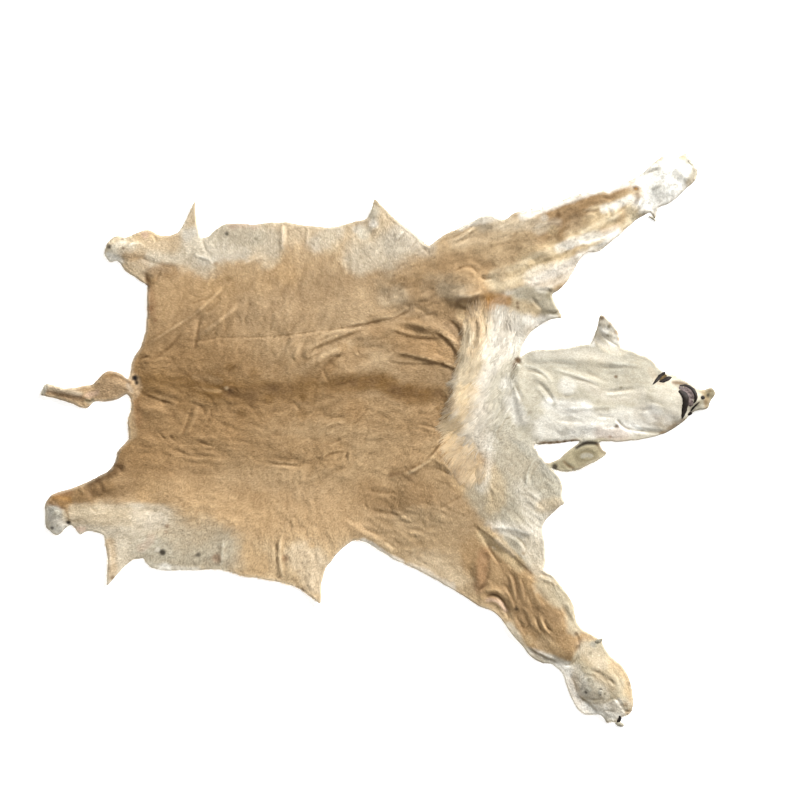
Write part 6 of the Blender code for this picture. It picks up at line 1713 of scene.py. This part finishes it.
# %% The locks
# x, y in cm, the way it points in degrees, its length in mm
LONG_COMBS = (
    (27, 34, 262, 26), (25, 28, 258, 28), (33, 33, 250, 26), (26, 21, 236, 38), (34, 22, 238, 30),
    (24, 13, 218, 46), (31, 12, 228, 38), (21, 5, 212, 48), (28, 4, 226, 40), (21, -2, 222, 44),
    (30, -6, 250, 32), (24, -9, 236, 32), (36, 6, 230, 26), (34, 14, 236, 28),
)
# three places x y of a line, half width in cm, hairs for each square cm
LONG_AREAS = (
    (29, 35, 28.4, 28, 27, 21, 4.6, 12),
    (27, 21, 25.6, 13, 23.6, 5, 3.8, 20),
    (23.6, 5, 23, 0, 26, -8, 3.2, 16),
    (34, 33, 34, 20, 32, 8, 4, 9),
)
LOCKS_PER_CM2 = 0.5
SOFT_AREA_CM = 1.6
LONG_REACH_CM = 6.0
# spread of lightness of a lock and of a single hair in it
SHADES = 0.08


def long_density(places):
    """Long hairs wanted for each square cm at each place."""
    most = np.zeros(len(places))
    for *three, half, per_cm2 in LONG_AREAS:
        line = curve_through(three, 2.0)
        away = np.abs(beside(places, line)[0]) + 0.6 * waves(places, 2.5, 71)
        most = np.maximum(most, per_cm2 * smooth((half - away) / SOFT_AREA_CM + 0.5))
    return most


def long_comb(places):
    """For each place: the way its long hair lies and its length in mm."""
    rows = np.array(LONG_COMBS, float)
    toward = np.radians(rows[:, 2])
    weight = comb_weights(squares_from(places, rows[:, :2]), LONG_REACH_CM)
    weight /= weight.sum(axis=1)[:, None]
    return np.arctan2(weight @ np.sin(toward), weight @ np.cos(toward)), weight @ rows[:, 3]


wanted = long_density(grain[grain_faces[:, 0]])
face, share = grow_roots(upper_points, grain_faces, 1.0, wanted)
roots = mixed(upper_points, grain_faces, face, share)[:, :2] / CM
lock_at = roots[maker.random(len(roots)) < LOCKS_PER_CM2 / np.maximum(wanted[face], LOCKS_PER_CM2)]
lock_tree = tree_of(lock_at)
lock_of = np.array([lock_tree.find((x, y, 0))[1] for x, y in roots])
lock_angle, lock_length = long_comb(lock_at)
lock_angle += 0.3 * waves(lock_at, 5.0, 72) + maker.normal(0, 0.16, len(lock_at))
lock_length *= maker.uniform(0.75, 1.2, len(lock_at))
lock_shade = 1 + maker.normal(0, SHADES, len(lock_at))
print(len(lock_at), "locks")

# %% Grow the long hair
LONG_WIDTH_MM = 1.1
LONG_STANDS_MM = 1.7
GATHERS = 0.4
PALER_TIPS = 0.25
CURLS, CURL_CM = 0.12, 2.0
# where along a band its steps are, its width at each, and its triangles
STEPS = np.array([0.0, 0.36, 0.72, 1.0])
STEP_WIDTHS = np.array([0.6, 1.0, 0.75])
LONG_FACES = np.array([(0, 1, 2), (2, 1, 3), (2, 3, 4), (4, 3, 5), (4, 5, 6)])
# the hair is two pieces, which meet at this y in cm
FAR_FROM_Y = 16


def lying(places, lift):
    """Points in metres at places in cm, lifted off the hide."""
    return np.column_stack([places * CM, read_chart(chart_height, places) + lift])


count = len(roots)
angle = lock_angle[lock_of] + maker.normal(0, 0.07, count)
length_cm = lock_length[lock_of] * maker.uniform(0.8, 1.1, count) * MM / CM
way = np.column_stack([np.cos(angle), np.sin(angle)])
side = np.column_stack([-way[:, 1], way[:, 0]])
gather = lock_at[lock_of] - roots
curl = CURLS * waves(roots, CURL_CM, 73)
width_cm = LONG_WIDTH_MM * MM / CM * maker.uniform(*HAIR_WIDTHS, count)
stand = LONG_STANDS_MM * MM * maker.uniform(0.5, 1.3, count)
rows = []
for step in STEPS:
    centre = roots + way * (length_cm * step)[:, None] + gather * GATHERS * step**1.5
    centre += side * (curl * length_cm * step**2)[:, None]
    lift = stand * (4 * step * (1 - step) + 0.35 * step)
    if step < 1:
        half = side * (width_cm / 2 * STEP_WIDTHS[len(rows) // 2])[:, None]
        rows += [lying(centre - half, lift), lying(centre + half, lift)]
    else:
        rows.append(lying(centre, lift))
points = np.stack(rows, axis=1)

long_coat = dyed_material("long neck hair", 0.92, 1.06, 0.6, 140)
root_dye = read_chart(chart_dye, roots) * lock_shade[lock_of][:, None]
root_dye *= (1 + maker.normal(0, SHADES, count))[:, None]
pale = linear(DYES["chalk"]) * DYE_SHARE
along = np.repeat(STEPS, (2, 2, 2, 1))
dyes = root_dye[:, None, :] + (PALER_TIPS * along)[None, :, None] * (pale - root_dye)[:, None, :]
is_far = roots[:, 1] > FAR_FROM_Y
for name, which in (("neck_hair_far", is_far), ("neck_hair_near", ~is_far)):
    own = points[which]
    faces = (LONG_FACES[None] + 7 * np.arange(len(own))[:, None, None]).reshape(-1, 3)
    piece = new_piece(name, own.reshape(-1, 3), faces, [long_coat])
    paint_points(piece, "dye", dyes[which].reshape(-1, 3))
    paint_points(piece, "along", np.tile(along, len(own)))
    plan_map(piece)
    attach(piece, "root")
    print(name, len(own), "long hairs in", len(lock_at), "locks")

# %% [markdown]
# ## Nose, lips, lids, pads and claws
#
# What has no hair on a cat is bare, dried and dark: the nose, the lips, the rims of the eye, the
# pads, and the horn of the claws. They are raised beads and low mounds that sink into the hide at
# their edges, as they do on the animal, where they are the same skin without its coat.

# %% Where the skin is bare
# rows of x, y, half width in cm, height in mm
BEADS = {
    "lip_left": (
        (82.5, 13.7, 0.3, 1.2), (83.3, 13.2, 0.7, 2.4), (84.2, 12.5, 1, 3), (84.4, 11.5, 0.9, 3),
        (84.3, 10.4, 0.75, 3), (84.2, 9.2, 0.8, 3), (84, 8, 0.7, 2.6), (83.7, 6.9, 0.5, 2),
        (83.5, 6, 0.15, 1),
    ),
    "lip_right": (
        (82.8, 15.1, 0.2, 0.8), (84.6, 15.2, 0.38, 1.6), (86, 14.5, 0.48, 2.5), (86.9, 13.4, 0.55, 3),
        (87.3, 12.2, 0.5, 3), (87.1, 11, 0.35, 2), (86.6, 10.2, 0.12, 1),
    ),
    "lip_near": (
        (85.9, 8, 0.15, 1), (86.3, 8.7, 0.3, 1.5), (87.1, 9.6, 0.28, 1.4), (88.2, 10.6, 0.12, 0.8),
    ),
    "eyelid_rear": (
        (75.4, 15.4, 0.12, 0.6), (76.2, 16.2, 0.4, 1.6), (77, 17.1, 0.5, 1.8), (77.6, 17.8, 0.55, 2),
        (78.1, 18.1, 0.36, 2), (78.6, 18.5, 0.5, 2), (79, 18.8, 0.12, 0.8),
    ),
    "eyelid_front": (
        (77.2, 16.2, 0.15, 1), (78.2, 16.4, 0.55, 2), (79.1, 16.8, 0.6, 2), (80, 17.2, 0.5, 1.6),
        (80.7, 17.4, 0.12, 0.8),
    ),
    "claw_sheath": (
        (66.4, -75.6, 0.2, 1), (66.5, -76.4, 0.45, 2.4), (66.2, -77.1, 0.5, 2.6), (65.6, -77.7, 0.2, 1.2),
    ),
}
CLAWS = {
    "claw_near_fore": (
        (65.3, -77.6, 0.3, 1.6), (66, -77.9, 0.6, 3), (66.8, -78.1, 0.7, 3.2), (67.6, -78.3, 0.25, 1.4),
    ),
    "dewclaw_near_fore": (
        (59.7, -55.4, 0.3, 1.4), (60.4, -55.2, 0.65, 2.8), (61.1, -54.9, 0.6, 2.6), (61.7, -54.5, 0.25, 1),
    ),
    "dewclaw_far_fore": (
        (74.4, 61.7, 0.2, 1.2), (75.4, 61.2, 0.36, 2.2), (76, 60.7, 0.28, 1.8), (76.5, 60.2, 0.08, 0.8),
    ),
    "claw_far_fore": (
        (85.2, 76.8, 0.2, 1.2), (85.9, 76.2, 0.4, 2.4), (86.5, 75.6, 0.3, 1.8), (86.9, 75.1, 0.08, 0.8),
    ),
}
# skin, x, y, half length, half width in cm, turned by degrees, height in mm
MOUNDS = {
    "nose_leather": ("nose", 85.3, 13.1, 2.3, 1.45, -48, 1.8),
    "inner_lip": ("nose", 85.7, 10.5, 1.3, 0.95, -80, 1.5),
    "upper_lip": ("nose", 83.3, 14.4, 0.95, 0.6, -30, 1.6),
    "eye_slit": ("eye", 78.2, 17.3, 1.5, 0.85, 34, 0.8),
    "lip_corner": ("lip", 85.7, 7.4, 0.7, 0.5, 30, 2.2),
    "lip_front": ("lip", 89.2, 11.8, 0.62, 0.52, 0, 2.2),
    "pad_near_fore": ("pad", 57.6, -68.2, 1.2, 0.85, -35, 1.1),
    "pad_near_fore_toe": ("pad", 60.9, -68.9, 0.8, 0.7, 20, 1),
    "pad_near_hind": ("pad", -88.3, -19.9, 1.3, 1, 20, 0.9),
}
print(len(BEADS), "beads,", len(CLAWS), "claws and", len(MOUNDS), "mounds")

# %% Beads and mounds
# sides of a bead around its line, and its steps as shares of the way from row to row
BEAD_SIDES = 10
BEAD_STEP = 0.2
MOUND_RINGS, MOUND_SPOKES = 8, 30
SUNK_MM = 0.8
# how uneven a bead's width, a mound's edge and a mound's top are
BEAD_UNEVEN, EDGE_UNEVEN, TOP_UNEVEN = 0.18, 0.14, 0.25


def bead(rows):
    """A smooth raised band along the rows, closed at both ends."""
    rows = np.array(rows, float)
    steps = np.arange(0, len(rows) - 1 + 1e-9, BEAD_STEP)
    line = np.column_stack([np.interp(steps, range(len(rows)), rows[:, k]) for k in range(4)])
    for _ in range(3):
        line[1:-1] = line[1:-1] / 2 + (line[2:] + line[:-2]) / 4
    run = unit(np.gradient(line[:, :2], axis=0))
    side = np.column_stack([-run[:, 1], run[:, 0]])
    turn = np.linspace(0, 2 * math.pi, BEAD_SIDES, endpoint=False)
    half = line[:, 2] * (1 + BEAD_UNEVEN * waves(line[:, :2], 0.7, 81))
    places = line[:, None, :2] + side[:, None] * half[:, None, None] * np.cos(turn)[None, :, None]
    points = on_hide(places.reshape(-1, 2)).reshape(len(line), BEAD_SIDES, 3)
    rise = np.maximum(np.sin(turn)[None, :] * line[:, 3:], -SUNK_MM)
    points[:, :, 2] += rise * MM
    ring = np.arange(BEAD_SIDES)
    after = (ring + 1) % BEAD_SIDES
    faces = []
    for k in range(len(line) - 1):
        a, b = k * BEAD_SIDES, (k + 1) * BEAD_SIDES
        faces.append(np.column_stack([a + ring, a + after, b + ring]))
        faces.append(np.column_stack([a + after, b + after, b + ring]))
    last = (len(line) - 1) * BEAD_SIDES
    faces.append([(0, k + 1, k) for k in range(1, BEAD_SIDES - 1)])
    faces.append([(last, last + k, last + k + 1) for k in range(1, BEAD_SIDES - 1)])
    return points.reshape(-1, 3), np.concatenate(faces)


def mound(x, y, half_long, half_wide, turned_deg, height_mm):
    """A low mound with an uneven edge that ends just under the hide."""
    turn = np.linspace(0, 2 * math.pi, MOUND_SPOKES, endpoint=False)
    ring = np.linspace(0, 1, MOUND_RINGS + 1)[1:]
    cos_t, sin_t = math.cos(math.radians(turned_deg)), math.sin(math.radians(turned_deg))
    circle = np.column_stack([np.cos(turn), np.sin(turn)])
    uneven = 1 + EDGE_UNEVEN * waves(circle * 1.5 + (x, y), 1.0, 82)
    oval = circle * (half_long, half_wide) * uneven[:, None]
    oval = oval @ np.array([[cos_t, sin_t], [-sin_t, cos_t]])
    places = np.concatenate([[(0.0, 0.0)], (ring[:, None, None] * oval[None]).reshape(-1, 2)]) + (x, y)
    from_middle = np.concatenate([[0.0], np.repeat(ring, MOUND_SPOKES)])
    points = on_hide(places)
    rise = height_mm * np.sqrt(1 - from_middle**2) * (1 + TOP_UNEVEN * waves(places, 0.5, 83))
    points[:, 2] += (rise - SUNK_MM * from_middle**4) * MM
    faces = [(0, 1 + k, 1 + (k + 1) % MOUND_SPOKES) for k in range(MOUND_SPOKES)]
    for r in range(MOUND_RINGS - 1):
        a, b = 1 + r * MOUND_SPOKES, 1 + (r + 1) * MOUND_SPOKES
        for k in range(MOUND_SPOKES):
            after = (k + 1) % MOUND_SPOKES
            faces += [(a + k, b + k, b + after), (a + k, b + after, a + after)]
    return points, np.array(faces)


def add_bare(name, made, material):
    """A piece of bare skin or horn from the points and faces that were made for it."""
    piece = new_piece(name, *made, [material])
    plan_map(piece)
    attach(piece, "root")


lip_skin = mottled_leather("dried lips", (8, 6, 5), (34, 24, 17), 160, 0.65, 0.5)
nose_skin = mottled_leather("nose leather", (48, 40, 39), (108, 94, 90), 180, 0.6, 0.6)
eye_skin = mottled_leather("skin round the eye", (36, 28, 14), (92, 74, 42), 220, 0.75, 0.4)
pad_skin = mottled_leather("paw pads", (128, 122, 108), (190, 184, 168), 150, 0.7, 0.8)
claw_horn = mottled_leather("claw horn", (104, 99, 84), (166, 159, 141), 120, 0.45, 0.2)
for name, rows in BEADS.items():
    add_bare(name, bead(rows), lip_skin)
for name, rows in CLAWS.items():
    add_bare(name, bead(rows), claw_horn)
skins = {"nose": nose_skin, "lip": lip_skin, "pad": pad_skin, "eye": eye_skin}
for name, (skin, *sizes) in MOUNDS.items():
    add_bare(name, mound(*sizes), skins[skin])

# %% [markdown]
# ## A photographer's table
#
# The skin lies on a plain white ground. A large soft lamp stands low beyond the head, a dim one
# opposite lifts the shadows as a white board would, and a wide faint one hangs above. A low lamp
# is what makes shallow wrinkles show. The camera looks straight down.

# %% Floor, lamps and camera
FLOOR_HALF, FLOOR_DOWN = 6.0, 0.0004
FLOOR_CORNERS = ((-1, -1), (1, -1), (1, 1), (-1, 1))

floor_mesh = bpy.data.meshes.new("floor")
floor_points = [(x * FLOOR_HALF, y * FLOOR_HALF, -FLOOR_DOWN) for x, y in FLOOR_CORNERS]
floor_mesh.from_pydata(floor_points, [], [(0, 1, 2, 3)])
floor = bpy.data.objects.new("floor", floor_mesh)
bpy.context.scene.collection.objects.link(floor)
white_ground = bpy.data.materials.new("white ground")
ground_shader, _, _ = node_maker(white_ground)
fill(ground_shader, {"Base Color": (0.9, 0.9, 0.9, 1), "Roughness": 0.9, "Specular IOR Level": 0.1})
fill(ground_shader, {"Emission Color": (1, 1, 1, 1), "Emission Strength": 0.45})
floor_mesh.materials.append(white_ground)
floor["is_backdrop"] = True


def lamp(name, at, size, watts, colour=(1, 1, 1)):
    """A soft square lamp that looks at the middle of the skin."""
    light = bpy.data.lights.new(name, "AREA")
    light.size = size
    light.energy = watts
    light.color = colour
    item = bpy.data.objects.new(name, light)
    item.location = at
    item.rotation_euler = (Vector((0, 0, 0)) - Vector(at)).to_track_quat("-Z", "Y").to_euler()
    bpy.context.scene.collection.objects.link(item)


lamp("low window", (6.0, 6.5, 3.6), 2.4, 2750)
lamp("white board", (-5.5, -6.0, 4.5), 4.0, 260, (1.0, 0.98, 0.94))
lamp("wide top", (0.0, 0.0, 4.0), 3.0, 36)

world = bpy.data.worlds.new("pale room")
world.use_nodes = True
fill(world.node_tree.nodes["Background"], {"Color": (1.0, 0.985, 0.95, 1), "Strength": 0.24})
bpy.context.scene.world = world
bpy.context.scene.view_settings.view_transform = "Standard"

FRAME_WIDTH = 2.2
FRAME_MIDDLE = (0.0605, 0.1114)
LENS_MM, SENSOR_MM = 100, 36

camera_data = bpy.data.cameras.new("straight above")
camera_data.lens = LENS_MM
camera_data.sensor_width = SENSOR_MM
camera = bpy.data.objects.new("straight above", camera_data)
camera.location = (*FRAME_MIDDLE, FRAME_WIDTH * LENS_MM / SENSOR_MM)
bpy.context.scene.collection.objects.link(camera)
bpy.context.scene.camera = camera
print("the camera is", round(camera.location.z, 2), "m up")

# %% Keep the sizes and finish
sizes = {"cad": [list(corner) for corner in packed_box], "visual": [list(corner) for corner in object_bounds()]}
print(sizes)
